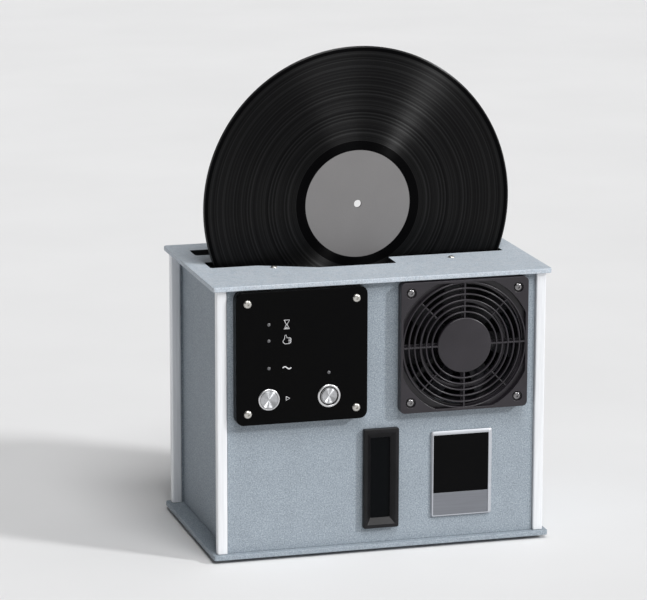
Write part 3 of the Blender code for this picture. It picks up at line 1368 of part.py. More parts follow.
def fan_blade(turn):
    """One twisted blade from inside the hub to the tip, as flat sections along its span."""
    blade = bmesh.new()
    tip = FAN_BORE_RADIUS - FAN_TIP_GAP
    root = FAN_BLADE_ROOT_SHARE * FAN_BORE_RADIUS
    middle = (FAN_FRONT_GAP + FAN_DEPTH - FAN_STRUT_DEPTH - FIT_GAP) / 2
    rings = []
    for index in range(FAN_BLADE_SECTIONS):
        share = index / (FAN_BLADE_SECTIONS - 1)
        radius = root + share * (tip - root)
        pitch = FAN_BLADE_ROOT_ANGLE + share * (FAN_BLADE_TIP_ANGLE - FAN_BLADE_ROOT_ANGLE)
        spin = Matrix.Rotation(turn + share * FAN_BLADE_SWEEP, 4, "Y")
        half = FAN_BLADE_WIDTH / 2
        thick = FAN_BLADE_THICK / 2
        section = []
        for chord, offset in ((-half, -thick), (half, -thick), (half, thick), (-half, thick)):
            across = chord * math.cos(pitch) - offset * math.sin(pitch)
            along = chord * math.sin(pitch) + offset * math.cos(pitch)
            reach = math.sqrt(radius**2 - across**2)
            section.append(spin @ Matrix.Translation((reach, middle + along, across)))
        rings.append([blade.verts.new(place.translation) for place in section])
    for lower, upper in zip(rings, rings[1:]):
        for index in range(4):
            follow = (index + 1) % 4
            blade.faces.new((lower[index], lower[follow], upper[follow], upper[index]))
    blade.faces.new(rings[0][::-1])
    blade.faces.new(rings[-1])
    return blade


def fan_rotor(surface, place):
    rear = FAN_DEPTH - FAN_STRUT_DEPTH - FIT_GAP
    hub = FAN_HUB_SHARE * FAN_BORE_RADIUS
    profile = [
        (0, FAN_FRONT_GAP),
        (hub - FAN_HUB_ROUND, FAN_FRONT_GAP),
        (hub, FAN_FRONT_GAP + FAN_HUB_ROUND),
        (hub, rear),
        (0, rear),
    ]
    rotor = finished("fan_rotor", spun(bmesh.new(), profile, "Y", ROUND_STEPS), surface, place)
    for index in range(FAN_BLADES):
        blade = fan_blade(index * 2 * math.pi / FAN_BLADES)
        add(rotor, finished(f"fan_blade_{index + 1}", blade))
    return rotor


def fan_group(guard_surface, fan_surface):
    """The fan behind the front panel, with its filter frame and guard outside the panel."""
    filter_frame(guard_surface, (FAN_X, -GUARD_BACK, FAN_Z))
    fan_guard(guard_surface, (FAN_X, -GUARD_BACK - GUARD_DEPTH - FIT_GAP, FAN_Z))
    fan_frame(fan_surface, (FAN_X, -FAN_BACK, FAN_Z))
    fan_rotor(fan_surface, (FAN_X, -FAN_BACK, FAN_Z))


def window_opening():
    """The sight window's clear width and height, at the foot of its funnel."""
    width = WINDOW_WIDTH - 2 * WINDOW_FRAME - 2 * WINDOW_FUNNEL_SIDE
    height = WINDOW_HEIGHT - 2 * WINDOW_FRAME - 2 * WINDOW_FUNNEL_END
    return width, height


def pane_size():
    width, height = window_opening()
    return width + 2 * WINDOW_PANE_BORDER, height + 2 * WINDOW_PANE_BORDER


def window_bezel(surface):
    """The raised black frame of the sight window, its inside sloping in to the opening."""
    back = -FIT_GAP
    front = back - WINDOW_DEPTH
    trimmed_width = WINDOW_WIDTH - 2 * WINDOW_CHAMFER
    trimmed_height = WINDOW_HEIGHT - 2 * WINDOW_CHAMFER
    outer = rectangle(WINDOW_WIDTH, WINDOW_HEIGHT, WINDOW_CORNER)
    top = rectangle(trimmed_width, trimmed_height, WINDOW_CORNER - WINDOW_CHAMFER)
    sections = [(outer, back), (outer, front + WINDOW_CHAMFER), (top, front)]
    place = (WINDOW_X, -FRONT_FACE, WINDOW_Z)
    bezel = finished("window_bezel", loft(bmesh.new(), sections, "Y"), surface, place)
    mouth_width = WINDOW_WIDTH - 2 * WINDOW_FRAME
    mouth_height = WINDOW_HEIGHT - 2 * WINDOW_FRAME
    corner = WINDOW_CORNER / 2
    narrow = rectangle(*window_opening(), corner)
    wide = rectangle(mouth_width, mouth_height, corner)
    funnel = [(narrow, OVERRUN), (narrow, back - WINDOW_SILL), (wide, front), (wide, front - OVERRUN)]
    return cut(bezel, finished("window_funnel", loft(bmesh.new(), funnel, "Y")))


def window_pane(surface):
    outline = rectangle(*pane_size(), WINDOW_CORNER - FIT_GAP)
    sheet = prism(bmesh.new(), outline, "Y", 0, PANEL_THICK)
    return finished("window_pane", sheet, surface, (WINDOW_X, -FRONT_FACE, WINDOW_Z))


def badge_plate(surface):
    """The bare metal plate under the fan, with a sunk field that leaves a border and a lower band."""
    outer = rectangle(BADGE_WIDTH, BADGE_HEIGHT, BADGE_CORNER)
    front = -FIT_GAP - BADGE_THICK
    place = (FAN_X, -FRONT_FACE, BADGE_Z)
    badge = finished("badge_plate", prism(bmesh.new(), outer, "Y", -FIT_GAP, front), surface, place)
    field = rectangle(BADGE_WIDTH - 2 * BADGE_BORDER, BADGE_FIELD, BADGE_CORNER / 2)
    lift = (BADGE_HEIGHT - BADGE_FIELD) / 2 - BADGE_BORDER
    shifted = [(x, z + lift) for x, z in field]
    recess = prism(bmesh.new(), shifted, "Y", front + BADGE_RECESS, front - OVERRUN)
    return cut(badge, finished("badge_field", recess))


def power_inlet(surface):
    """The mains inlet on the rear panel: a flange, a recess and three flat pins."""
    flange = rectangle(INLET_WIDTH + 2 * INLET_LUG, INLET_HEIGHT + 2 * INLET_WALL, INLET_CORNER)
    back = FIT_GAP
    plate_body = prism(bmesh.new(), flange, "Y", back, back + INLET_FLANGE)
    inlet = finished("power_inlet", plate_body, surface, (inlet_x(), FRONT_FACE, INLET_Z))
    body = rectangle(INLET_WIDTH, INLET_HEIGHT, INLET_CORNER)
    rear = back + INLET_FLANGE - INLET_DEPTH
    add(inlet, finished("inlet_body", prism(bmesh.new(), body, "Y", rear, back + INLET_FLANGE / 2)))
    width = INLET_WIDTH - 2 * INLET_WALL
    height = INLET_HEIGHT - 2 * INLET_WALL
    mouth = rectangle(width, height, INLET_CORNER - INLET_WALL / 2)
    floor = rear + INLET_FLOOR
    recess = prism(bmesh.new(), mouth, "Y", floor, back + INLET_FLANGE + OVERRUN)
    cut(inlet, finished("inlet_recess", recess))
    pin = rectangle(INLET_PIN_THICK, INLET_PIN_WIDTH, INLET_PIN_THICK / 4, 1)
    pins = bmesh.new()
    low = -INLET_PIN_DROP
    for x, z in ((-INLET_PIN_REACH, low), (0, INLET_PIN_RISE), (INLET_PIN_REACH, low)):
        shape = [(x + a, z + b) for a, b in pin]
        prism(pins, shape, "Y", floor - INLET_FLOOR / 2, floor + INLET_PIN_LENGTH)
    return add(inlet, finished("inlet_pins", pins))


def drain_plug(surface):
    """The plug that closes the tank's drain, with a ribbed grip outside the rear panel."""
    back = FIT_GAP
    profile = [
        (0, -DRAIN_STEM_LENGTH),
        (DRAIN_STEM_RADIUS, -DRAIN_STEM_LENGTH),
        (DRAIN_STEM_RADIUS, back),
        (DRAIN_FLANGE_RADIUS, back),
        (DRAIN_FLANGE_RADIUS, back + DRAIN_FLANGE_THICK),
        (0, back + DRAIN_FLANGE_THICK),
    ]
    place = (DRAIN_X, FRONT_FACE, DRAIN_Z)
    plug = finished("drain_plug", spun(bmesh.new(), profile, "Y", ROUND_STEPS), surface, place)
    ribs = []
    for index in range(DRAIN_GRIP_RIBS):
        for share, depth in ((0, 0), (1 / 2, 0), (3 / 4, DRAIN_GRIP_GROOVE)):
            turn = (index + share) * 2 * math.pi / DRAIN_GRIP_RIBS
            radius = DRAIN_GRIP_RADIUS - depth
            ribs.append((radius * math.cos(turn), radius * math.sin(turn)))
    grip = prism(bmesh.new(), ribs, "Y", back + DRAIN_FLANGE_THICK / 2, DRAIN_REACH)
    return add(plug, finished("drain_grip", grip))


def build():
    clear_scene()
    coated = material("grey_sheet", (0.42, 0.46, 0.50), 0.55, 0.1)
    anodised = material("anodised_aluminium", (0.80, 0.81, 0.83), 0.35, 0.8)
    rubber = material("black_rubber", (0.02, 0.02, 0.02), 0.8)
    vinyl = material("black_vinyl", (0.012, 0.012, 0.013), 0.18)
    tub_plastic = material("dark_tub_plastic", (0.03, 0.032, 0.035), 0.5)
    tank_plastic = material("clear_tank_plastic", (0.55, 0.62, 0.68), 0.3)
    microfibre = material("blue_microfibre", (0.10, 0.20, 0.42), 0.95)
    nylon = material("white_nylon", (0.72, 0.71, 0.67), 0.45)
    steel = material("motor_steel", (0.55, 0.56, 0.57), 0.3, 1.0)
    housing = material("dark_grey_plastic", (0.045, 0.045, 0.05), 0.45)
    gloss = material("black_gloss_face", (0.004, 0.004, 0.005), 0.06)
    chrome = material("polished_button_steel", (0.80, 0.80, 0.81), 0.12, 1.0)
    guard = material("charcoal_guard_plastic", (0.048, 0.042, 0.048), 0.5)
    fan = material("black_fan_plastic", (0.012, 0.012, 0.013), 0.45)
    board = material("green_board", (0.02, 0.12, 0.05), 0.5)
    foam = material("dark_foam", (0.03, 0.03, 0.032), 1.0)
    pane = material("clear_pane", (0.75, 0.80, 0.84), 0.05, 0.0, 0.35)
    badge = material("brushed_badge", (0.62, 0.63, 0.65), 0.3, 0.9)

    feet(rubber)
    base_plate(coated)
    corner_posts(anodised)
    side_panels(coated)
    front_panel(coated)
    rear_panel(coated)
    top_plate(coated)

    bath_tub(tub_plastic)
    spindles(nylon)
    barrels(microfibre)
    barrel_pinion(nylon)
    gear_plate(steel)
    barrel_motor(steel)
    rollers(rubber)
    record_motor(steel)
    wipers(rubber)
    vinyl_record(vinyl)

    transducer(steel)
    drain_valve(nylon)
    water_tank(tank_plastic)
    circulation_pump(housing)
    power_board(board)
    filter_box(tub_plastic)
    filter_foam(foam)

    control_housing(housing)
    control_board(board)
    control_face(gloss)
    switch("start_switch", "start_button", chrome, START_X, START_RING_RADIUS, START_CAP_RADIUS)
    switch("power_switch", "power_button", chrome, POWER_X, POWER_RING_RADIUS, POWER_CAP_RADIUS)

    fan_group(guard, fan)
    window_bezel(housing)
    window_pane(pane)
    badge_plate(badge)
    power_inlet(housing)
    drain_plug(housing)


build()
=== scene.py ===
"""Looks for the record cleaning machine: fine surfaces, materials, floor, light and camera.

Metres, in the row frame: +X right, +Y rear, +Z up, the origin under the middle of the case.
"""

import json
import math

import bmesh
import bpy
from mathutils import Matrix, Vector

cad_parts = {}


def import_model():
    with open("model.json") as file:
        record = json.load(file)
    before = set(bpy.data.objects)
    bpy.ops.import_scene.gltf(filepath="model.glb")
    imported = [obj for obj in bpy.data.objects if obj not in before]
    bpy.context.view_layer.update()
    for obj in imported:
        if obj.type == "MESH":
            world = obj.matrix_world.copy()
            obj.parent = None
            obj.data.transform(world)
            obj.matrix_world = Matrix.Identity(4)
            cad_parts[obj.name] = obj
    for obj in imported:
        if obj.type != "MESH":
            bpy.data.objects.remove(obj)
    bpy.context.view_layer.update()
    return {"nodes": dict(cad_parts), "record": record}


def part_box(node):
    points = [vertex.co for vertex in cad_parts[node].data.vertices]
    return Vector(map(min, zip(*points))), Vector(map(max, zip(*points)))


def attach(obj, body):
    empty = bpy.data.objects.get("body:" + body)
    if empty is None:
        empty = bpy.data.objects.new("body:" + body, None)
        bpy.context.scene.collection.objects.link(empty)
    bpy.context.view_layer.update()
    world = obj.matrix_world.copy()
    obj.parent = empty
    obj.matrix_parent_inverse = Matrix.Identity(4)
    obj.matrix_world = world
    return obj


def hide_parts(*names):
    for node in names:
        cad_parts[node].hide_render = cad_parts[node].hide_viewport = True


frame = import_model()
nodes = frame["nodes"]

FINE_STEPS = 128
SMALL_STEPS = 48
ROUND_STEPS = 4
BODY = "case"


# Shapes


def object_of(name, bm, surface, place=(0, 0, 0), body=BODY, smooth=35):
    """A finished piece: outward normals, smooth curves, its material, and the body that it rides on."""
    bmesh.ops.remove_doubles(bm, verts=bm.verts, dist=1e-7)
    bmesh.ops.recalc_face_normals(bm, faces=bm.faces)
    mesh = bpy.data.meshes.new(name)
    bm.to_mesh(mesh)
    bm.free()
    mesh.shade_smooth()
    mesh.set_sharp_from_angle(angle=math.radians(smooth))
    mesh.materials.append(surface)
    piece = bpy.data.objects.new(name, mesh)
    piece.location = place
    bpy.context.scene.collection.objects.link(piece)
    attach(piece, body)
    return piece


def laid(axis, across, up, along):
    if axis == "Z":
        return (across, up, along)
    return (across, along, up) if axis == "Y" else (along, across, up)


def turned(profile, axis, steps=FINE_STEPS, closed=False):
    """Revolves (radius, along) points about the axis. A radius may be a function of the angle."""
    bm = bmesh.new()
    rings = []
    for radius, along in profile:
        ring = []
        for step in range(steps):
            angle = 2 * math.pi * step / steps
            reach = radius(angle) if callable(radius) else radius
            if reach == 0:
                ring = [bm.verts.new(laid(axis, 0, 0, along))] * steps
                break
            ring.append(bm.verts.new(laid(axis, reach * math.cos(angle), reach * math.sin(angle), along)))
        rings.append(ring)
    pairs = list(zip(rings, rings[1:]))
    if closed:
        pairs.append((rings[-1], rings[0]))
    for lower, upper in pairs:
        for step in range(steps):
            follow = (step + 1) % steps
            corners = []
            for vert in (lower[step], lower[follow], upper[follow], upper[step]):
                if vert not in corners:
                    corners.append(vert)
            if len(corners) > 2:
                bm.faces.new(corners)
    return bm


def rounded_box_outline(width, height, radius, steps=8):
    outline = []
    for turn, (x, y) in enumerate(((1, 1), (-1, 1), (-1, -1), (1, -1))):
        for step in range(steps + 1):
            angle = (turn + step / steps) * math.pi / 2
            across = x * (width / 2 - radius) + radius * math.cos(angle)
            up = y * (height / 2 - radius) + radius * math.sin(angle)
            outline.append((across, up))
    return outline


def prism(outline, axis, low, high, bm=None):
    bm = bm or bmesh.new()
    lower = [bm.verts.new(laid(axis, x, y, low)) for x, y in outline]
    upper = [bm.verts.new(laid(axis, x, y, high)) for x, y in outline]
    count = len(outline)
    for index in range(count):
        follow = (index + 1) % count
        bm.faces.new((lower[index], lower[follow], upper[follow], upper[index]))
    bm.faces.new(lower[::-1])
    bm.faces.new(upper)
    return bm


def circle(radius, steps, across=0.0, up=0.0):
    turns = [2 * math.pi * step / steps for step in range(steps)]
    return [(across + radius * math.cos(turn), up + radius * math.sin(turn)) for turn in turns]


def softened(piece, width, segments=3):
    """Small round edges on a piece or a CAD node, as moulding and coating leave them."""
    weld = piece.modifiers.new("weld", "WELD")
    weld.merge_threshold = 1e-6
    flat = piece.modifiers.new("flat", "DECIMATE")
    flat.decimate_type = "DISSOLVE"
    flat.angle_limit = math.radians(0.5)
    edge = piece.modifiers.new("edge", "BEVEL")
    edge.limit_method = "ANGLE"
    edge.angle_limit = math.radians(30)
    edge.width = width
    edge.segments = segments
    edge.use_clamp_overlap = False
    piece.modifiers.new("normals", "WEIGHTED_NORMAL")
    piece.data.shade_smooth()
    return piece


def cut_from(piece, tool_bm, name):
    """Subtracts a tool from a piece at once, so that no tool is left in the scene."""
    tool = bpy.data.objects.new(name, bpy.data.meshes.new(name))
    bmesh.ops.recalc_face_normals(tool_bm, faces=tool_bm.faces)
    tool_bm.to_mesh(tool.data)
    tool_bm.free()
    tool.matrix_world = piece.matrix_world
    bpy.context.scene.collection.objects.link(tool)
    step = piece.modifiers.new(name, "BOOLEAN")
    step.operation = "DIFFERENCE"
    step.solver = "EXACT"
    step.object = tool
    bpy.context.view_layer.update()
    graph = bpy.context.evaluated_depsgraph_get()
    mesh = bpy.data.meshes.new_from_object(piece.evaluated_get(graph))
    piece.modifiers.remove(step)
    piece.data = mesh
    bpy.data.objects.remove(tool)
    return piece


def centre_of(node):
    low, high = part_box(node)
    return (low + high) / 2


# Materials

# A quarter turn of the highlight, so that it runs across the rings and not along them.
ALONG_RINGS = 0.25


def new_material(name):
    made = bpy.data.materials.new(name)
    made.use_nodes = True
    tree = made.node_tree
    return made, tree, tree.nodes["Principled BSDF"]


def linked(tree, kind, **inputs):
    """A node with its sockets set: a value is stored, and an output socket is linked."""
    node = tree.nodes.new(kind)
    for name, value in inputs.items():
        socket = node.inputs[name.replace("_", " ")]
        if isinstance(value, bpy.types.NodeSocket):
            tree.links.new(value, socket)
        else:
            socket.default_value = value
    return node


def place_of(tree):
    return tree.nodes.new("ShaderNodeTexCoord").outputs["Object"]


def noise(tree, scale, detail=3.0, roughness=0.55, stretch=None):
    where = place_of(tree)
    if stretch:
        mapped = linked(tree, "ShaderNodeMapping", Vector=where)
        mapped.inputs["Scale"].default_value = stretch
        where = mapped.outputs["Vector"]
    made = linked(tree, "ShaderNodeTexNoise", Vector=where, Scale=scale, Detail=detail, Roughness=roughness)
    return made.outputs["Fac"]


def ramp(tree, factor, stops):
    """A colour ramp from (position, colour) stops, a grey given as one number."""
    made = linked(tree, "ShaderNodeValToRGB", Fac=factor)
    points = made.color_ramp.elements
    while len(points) < len(stops):
        points.new(0.5)
    for point, (position, colour) in zip(points, stops):
        point.position = position
        point.color = (colour, colour, colour, 1) if isinstance(colour, (int, float)) else (*colour, 1)
    return made.outputs["Color"]


def varied(tree, factor, low, high):
    made = linked(tree, "ShaderNodeMapRange", Value=factor)
    made.inputs["To Min"].default_value = low
    made.inputs["To Max"].default_value = high
    return made.outputs["Result"]


def bumped(tree, shader, height, strength, distance):
    bump = linked(tree, "ShaderNodeBump", Height=height, Strength=strength, Distance=distance)
    tree.links.new(bump.outputs["Normal"], shader.inputs["Normal"])
    return bump


def plain(name, colour, roughness, grain=900.0, depth=0.00004, spread=0.12, strength=0.35, specular=0.5):
    """A moulded or coated surface: one colour with a slight grain in tone, gloss and height."""
    made, tree, shader = new_material(name)
    shader.inputs["Specular IOR Level"].default_value = specular
    fine = noise(tree, grain)
    broad = noise(tree, grain / 28, detail=2.0)
    mixed = linked(tree, "ShaderNodeMath")
    mixed.operation = "MULTIPLY"
    tree.links.new(fine, mixed.inputs[0])
    tree.links.new(broad, mixed.inputs[1])
    dark = tuple(channel * (1 - spread) for channel in colour)
    light = tuple(min(1, channel * (1 + spread)) for channel in colour)
    tone = ramp(tree, mixed.outputs["Value"], [(0.12, dark), (0.42, light)])
    tree.links.new(tone, shader.inputs["Base Color"])
    tree.links.new(varied(tree, fine, roughness * 0.85, min(1, roughness * 1.15)), shader.inputs["Roughness"])
    bumped(tree, shader, fine, strength, depth)
    return made


def brushed(name, colour, roughness, stretch, metallic=1.0, depth=0.00001, radial=None, anisotropy=0.0):
    """Metal with fine parallel scratches along the axis that the stretch leaves long."""
    made, tree, shader = new_material(name)
    lines = noise(tree, 900.0, detail=4.0, stretch=stretch)
    dark = tuple(channel * 0.9 for channel in colour)
    tree.links.new(ramp(tree, lines, [(0.3, dark), (0.7, colour)]), shader.inputs["Base Color"])
    tree.links.new(varied(tree, lines, roughness * 0.8, roughness * 1.2), shader.inputs["Roughness"])
    shader.inputs["Metallic"].default_value = metallic
    shader.inputs["Anisotropic"].default_value = anisotropy
    if radial:
        shader.inputs["Anisotropic Rotation"].default_value = ALONG_RINGS
        tangent = tree.nodes.new("ShaderNodeTangent")
        tangent.direction_type = "RADIAL"
        tangent.axis = radial
        tree.links.new(tangent.outputs["Tangent"], shader.inputs["Tangent"])
    bumped(tree, shader, lines, 0.3, depth)
    return made


def powder_coat(name, lightness=1.0):
    """Fine matt powder coat, specked blue-grey. Gives the material, its tree, its shader and its tone."""
    made, tree, shader = new_material(name)
    specks = noise(tree, 850.0, detail=4.0, roughness=0.7)
    broad = noise(tree, 42.0, detail=5.0)
    stops = ((0.30, (0.148, 0.176, 0.205)), (0.50, (0.262, 0.305, 0.346)), (0.70, (0.41, 0.458, 0.505)))
    tone = ramp(tree, specks, [(at, tuple(lightness * channel for channel in colour)) for at, colour in stops])
    cloud = ramp(tree, broad, [(0.3, 0.93), (0.7, 1.0)])
    mixed = linked(tree, "ShaderNodeVectorMath")
    mixed.operation = "MULTIPLY"
    tree.links.new(tone, mixed.inputs[0])
    tree.links.new(cloud, mixed.inputs[1])
    tree.links.new(mixed.outputs["Vector"], shader.inputs["Base Color"])
    tree.links.new(varied(tree, specks, 0.5, 0.7), shader.inputs["Roughness"])
    shader.inputs["Specular IOR Level"].default_value = 0.35
    bumped(tree, shader, specks, 0.35, 0.00008)
    return made, tree, shader, mixed.outputs["Vector"]


RIM_WIDTH = 0.01
# Pale, less blue grey mixed into the top coat: painted sheen of the light on the top.
PAINTED_SHEEN_GREY = (0.54, 0.56, 0.595, 1)
SLOT_BLACK = (0.008, 0.008, 0.009, 1)


def within(tree, value, low, high):
    """One where the value lies between the two, else zero."""
    made = linked(tree, "ShaderNodeMath")
    made.operation = "COMPARE"
    tree.links.new(value, made.inputs[0])
    made.inputs[1].default_value = (low + high) / 2
    made.inputs[2].default_value = (high - low) / 2
    return made.outputs["Value"]


def top_coat():
    """The top plate's coat with painted light: a lighter copy of the grey coat, pale and less blue in patches
    as painted sheen of the light from above, and black on the walls of its slot.
    """
    # Lightness 1.5 paints the top lighter than the other coated faces: painted light from above.
    made, tree, shader, tone = powder_coat("grey_coat_top_painted_light", 1.5)
    # Patches of pale, less blue grey in the tone: painted sheen.
    sheen_patches = noise(tree, 160.0, detail=6.0, roughness=0.7)
    share = ramp(tree, sheen_patches, [(0.38, 0.10), (0.66, 0.60)])
    pale = linked(tree, "ShaderNodeMixRGB", Fac=share, Color1=tone, Color2=PAINTED_SHEEN_GREY)
    place = linked(tree, "ShaderNodeSeparateXYZ", Vector=place_of(tree))
    geometry = tree.nodes.new("ShaderNodeNewGeometry")
    normal = linked(tree, "ShaderNodeSeparateXYZ", Vector=geometry.outputs["Normal"])
    low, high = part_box("top_plate")
    masks = [within(tree, normal.outputs["Z"], -0.5, 0.5)]
    masks.append(within(tree, place.outputs["X"], low.x + RIM_WIDTH, high.x - RIM_WIDTH))
    masks.append(within(tree, place.outputs["Y"], low.y + RIM_WIDTH, high.y - RIM_WIDTH))
    wall = masks[0]
    for mask in masks[1:]:
        both = linked(tree, "ShaderNodeMath")
        both.operation = "MULTIPLY"
        tree.links.new(wall, both.inputs[0])
        tree.links.new(mask, both.inputs[1])
        wall = both.outputs["Value"]
    black = linked(tree, "ShaderNodeMixRGB", Fac=wall, Color1=pale.outputs["Color"], Color2=SLOT_BLACK)
    tree.links.new(black.outputs["Color"], shader.inputs["Base Color"])
    return made


GROOVES_FROM, GROOVES_TO, BEAD_FROM = 0.0605, 0.1462, 0.1494
LAND_SHINE = (0.03, 0.03, 0.03, 1)
BEAD_SHINE = (0.6, 0.6, 0.6, 1)


def groove_vinyl():
    """Pressed vinyl: fine rings round the hole, with bands of louder and quieter grooves."""
    made, tree, shader = new_material("record_vinyl")
    where = place_of(tree)
    shader.inputs["Base Color"].default_value = (0.0012, 0.0012, 0.0014, 1)
    flat = linked(tree, "ShaderNodeVectorMath")
    flat.operation = "MULTIPLY"
    tree.links.new(where, flat.inputs[0])
    flat.inputs[1].default_value = (1, 0, 1)
    length = linked(tree, "ShaderNodeVectorMath")
    length.operation = "LENGTH"
    tree.links.new(flat.outputs["Vector"], length.inputs[0])
    radius = length.outputs["Value"]
    line = tree.nodes.new("ShaderNodeCombineXYZ")
    tree.links.new(radius, line.inputs["X"])
    along = line.outputs["Vector"]
    bands = linked(tree, "ShaderNodeTexNoise", Vector=along, Scale=330.0, Detail=6.0, Roughness=0.75)
    rings = tree.nodes.new("ShaderNodeTexWave")
    rings.wave_type = "BANDS"
    rings.bands_direction = "X"
    tree.links.new(along, rings.inputs["Vector"])
    rings.inputs["Scale"].default_value = 420.0
    rings.inputs["Distortion"].default_value = 0.0
    both = linked(tree, "ShaderNodeMath")
    both.operation = "MULTIPLY"
    tree.links.new(rings.outputs["Fac"], both.inputs[0])
    tree.links.new(bands.outputs["Fac"], both.inputs[1])
    tree.links.new(varied(tree, bands.outputs["Fac"], 0.40, 0.48), shader.inputs["Roughness"])
    grooved = within(tree, radius, GROOVES_FROM, GROOVES_TO)
    shine = ramp(tree, bands.outputs["Fac"], [(0.34, 0.06), (0.5, 0.17), (0.66, 0.50)])
    level = linked(tree, "ShaderNodeMixRGB", Fac=grooved, Color1=LAND_SHINE, Color2=shine)
    rim = within(tree, radius, BEAD_FROM, BEAD_FROM + 0.01)
    glossed = linked(tree, "ShaderNodeMixRGB", Fac=rim, Color1=level.outputs["Color"], Color2=BEAD_SHINE)
    tree.links.new(glossed.outputs["Color"], shader.inputs["Specular IOR Level"])
    shader.inputs["Anisotropic"].default_value = 1.0
    shader.inputs["Anisotropic Rotation"].default_value = ALONG_RINGS
    tangent = tree.nodes.new("ShaderNodeTangent")
    tangent.direction_type = "RADIAL"
    tangent.axis = "Y"
    tree.links.new(tangent.outputs["Tangent"], shader.inputs["Tangent"])
    bumped(tree, shader, both.outputs["Value"], 0.25, 0.00003)
    return made


coat = powder_coat("grey_coat")[0]
coat_of_top = top_coat()
anodised = brushed("anodised_post", (0.82, 0.835, 0.86), 0.36, (1, 1, 0.03), metallic=0.35)
rubber = plain("rubber", (0.018, 0.018, 0.019), 0.75, grain=700.0, specular=0.3)
vinyl = groove_vinyl()
tub = plain("tub_plastic", (0.012, 0.013, 0.015), 0.5, grain=600.0, specular=0.3)
# The clear tank is coloured near black: painted shade of the unlit inside of the case.
tank = plain("tank_painted_shade", (0.006, 0.007, 0.009), 0.2, grain=300.0, depth=0.00001, specular=0.3)
pile = plain("microfibre", (0.055, 0.105, 0.215), 0.95, grain=1600.0, depth=0.0004, spread=0.4, strength=0.9)
pile.node_tree.nodes["Principled BSDF"].inputs["Sheen Weight"].default_value = 0.5
nylon = plain("nylon", (0.62, 0.61, 0.57), 0.42, grain=500.0)
steel = brushed("drawn_steel", (0.56, 0.57, 0.58), 0.3, (1, 1, 0.05))
moulded = plain("moulded_dark", (0.0068, 0.0066, 0.0076), 0.38, 800.0, 0.00010, 0.6, 0.8, specular=0.22)
gloss = plain("gloss_face", (0.0008, 0.0008, 0.0009), 0.05, 60.0, 0.000002, 0.05, 0.1, specular=0.06)
spun_steel = brushed("spun_steel", (0.66, 0.67, 0.69), 0.42, (1, 1, 1), radial="Y", anisotropy=1.0)
ring_steel = brushed("ring_steel", (0.72, 0.72, 0.73), 0.3, (1, 1, 1))
guard_plastic = plain("guard_plastic", (0.017, 0.0145, 0.0185), 0.33, 1000.0, 0.00005, 0.25, specular=0.45)
fan_plastic = plain("fan_plastic", (0.013, 0.013, 0.016), 0.42, grain=800.0, specular=0.4)
green = plain("green_board", (0.015, 0.085, 0.035), 0.4, grain=500.0)
foam = plain("foam", (0.024, 0.024, 0.026), 1.0, grain=1400.0, depth=0.0006, spread=0.5, strength=1.0)
badge_metal = brushed("badge_metal", (0.235, 0.245, 0.27), 0.36, (0.03, 1, 1), metallic=0.85)
rim_metal = brushed("rim_metal", (0.58, 0.60, 0.64), 0.36, (0.03, 1, 1), metallic=0.9)
enamel = plain("badge_enamel", (0.0015, 0.0015, 0.0017), 0.34, grain=700.0, specular=0.06)
screw_steel = brushed("screw_steel", (0.60, 0.585, 0.55), 0.34, (1, 1, 1), radial="Y", anisotropy=0.4)
dark_screw = brushed("dark_screw", (0.26, 0.255, 0.26), 0.27, (1, 1, 1), radial="Y", anisotropy=0.4)
paper = plain("label_paper", (0.165, 0.160, 0.160), 0.38, 900.0, 0.00001, spread=0.04, strength=0.15)
ink = plain("panel_ink", (0.55, 0.55, 0.56), 0.6, grain=2500.0, depth=0.00001, spread=0.06)
lens = plain("lamp_lens", (0.10, 0.10, 0.105), 0.25, grain=900.0, depth=0.00001, spread=0.05)
pin_metal = brushed("pin_metal", (0.70, 0.66, 0.55), 0.25, (1, 0.05, 1))

# The clear pane is drawn opaque and near black, with its own gloss: painted shade of the dark inside behind
# it.
glass = plain("pane_painted_shade", (0.0015, 0.002, 0.0026), 0.06, 60.0, 0.000001, 0.05, specular=0.06)

SURFACES = {
    "black_rubber": rubber,
    "grey_sheet": coat,
    "anodised_aluminium": anodised,
    "dark_tub_plastic": tub,
    "white_nylon": nylon,
    "blue_microfibre": pile,
    "motor_steel": steel,
    "black_vinyl": vinyl,
    "clear_tank_plastic": tank,
    "dark_grey_plastic": moulded,
    "green_board": green,
    "dark_foam": foam,
    "black_gloss_face": gloss,
    "polished_button_steel": ring_steel,
    "charcoal_guard_plastic": guard_plastic,
    "black_fan_plastic": fan_plastic,
    "clear_pane": glass,
    "brushed_badge": badge_metal,
}
slots = {row["node"]: row["material_slot"] for row in frame["record"]["subparts"]}
for name, node in nodes.items():
    node.data.materials.clear()
    node.data.materials.append(coat_of_top if name == "top_plate" else SURFACES[slots[name]])

EDGES = {
    "top_plate": 0.00025,
    "base_plate": 0.00025,
    "side_panel_left": 0.0003,
    "side_panel_right": 0.0003,
    "post_front_left": 0.0004,
    "post_front_right": 0.0004,
    "post_rear_left": 0.0004,
    "post_rear_right": 0.0004,
    "control_housing": 0.0003,
    "control_face": 0.0002,
    "window_bezel": 0.0002,
    "badge_plate": 0.00025,
    "power_inlet": 0.0003,
    "fan_frame": 0.0004,
    "fan_rotor": 0.0003,
    "bath_tub": 0.0003,
    "filter_box": 0.0003,
    "filter_foam": 0.0006,
    "drain_plug": 0.0003,
    "drive_roller": 0.0003,
    "idler_roller": 0.0003,
    "wiper_blade_front": 0.0002,
    "wiper_blade_rear": 0.0002,
    "water_tank": 0.0004,
    "circulation_pump": 0.0004,
}
for name, width in EDGES.items():
    softened(nodes[name], width)


# Record


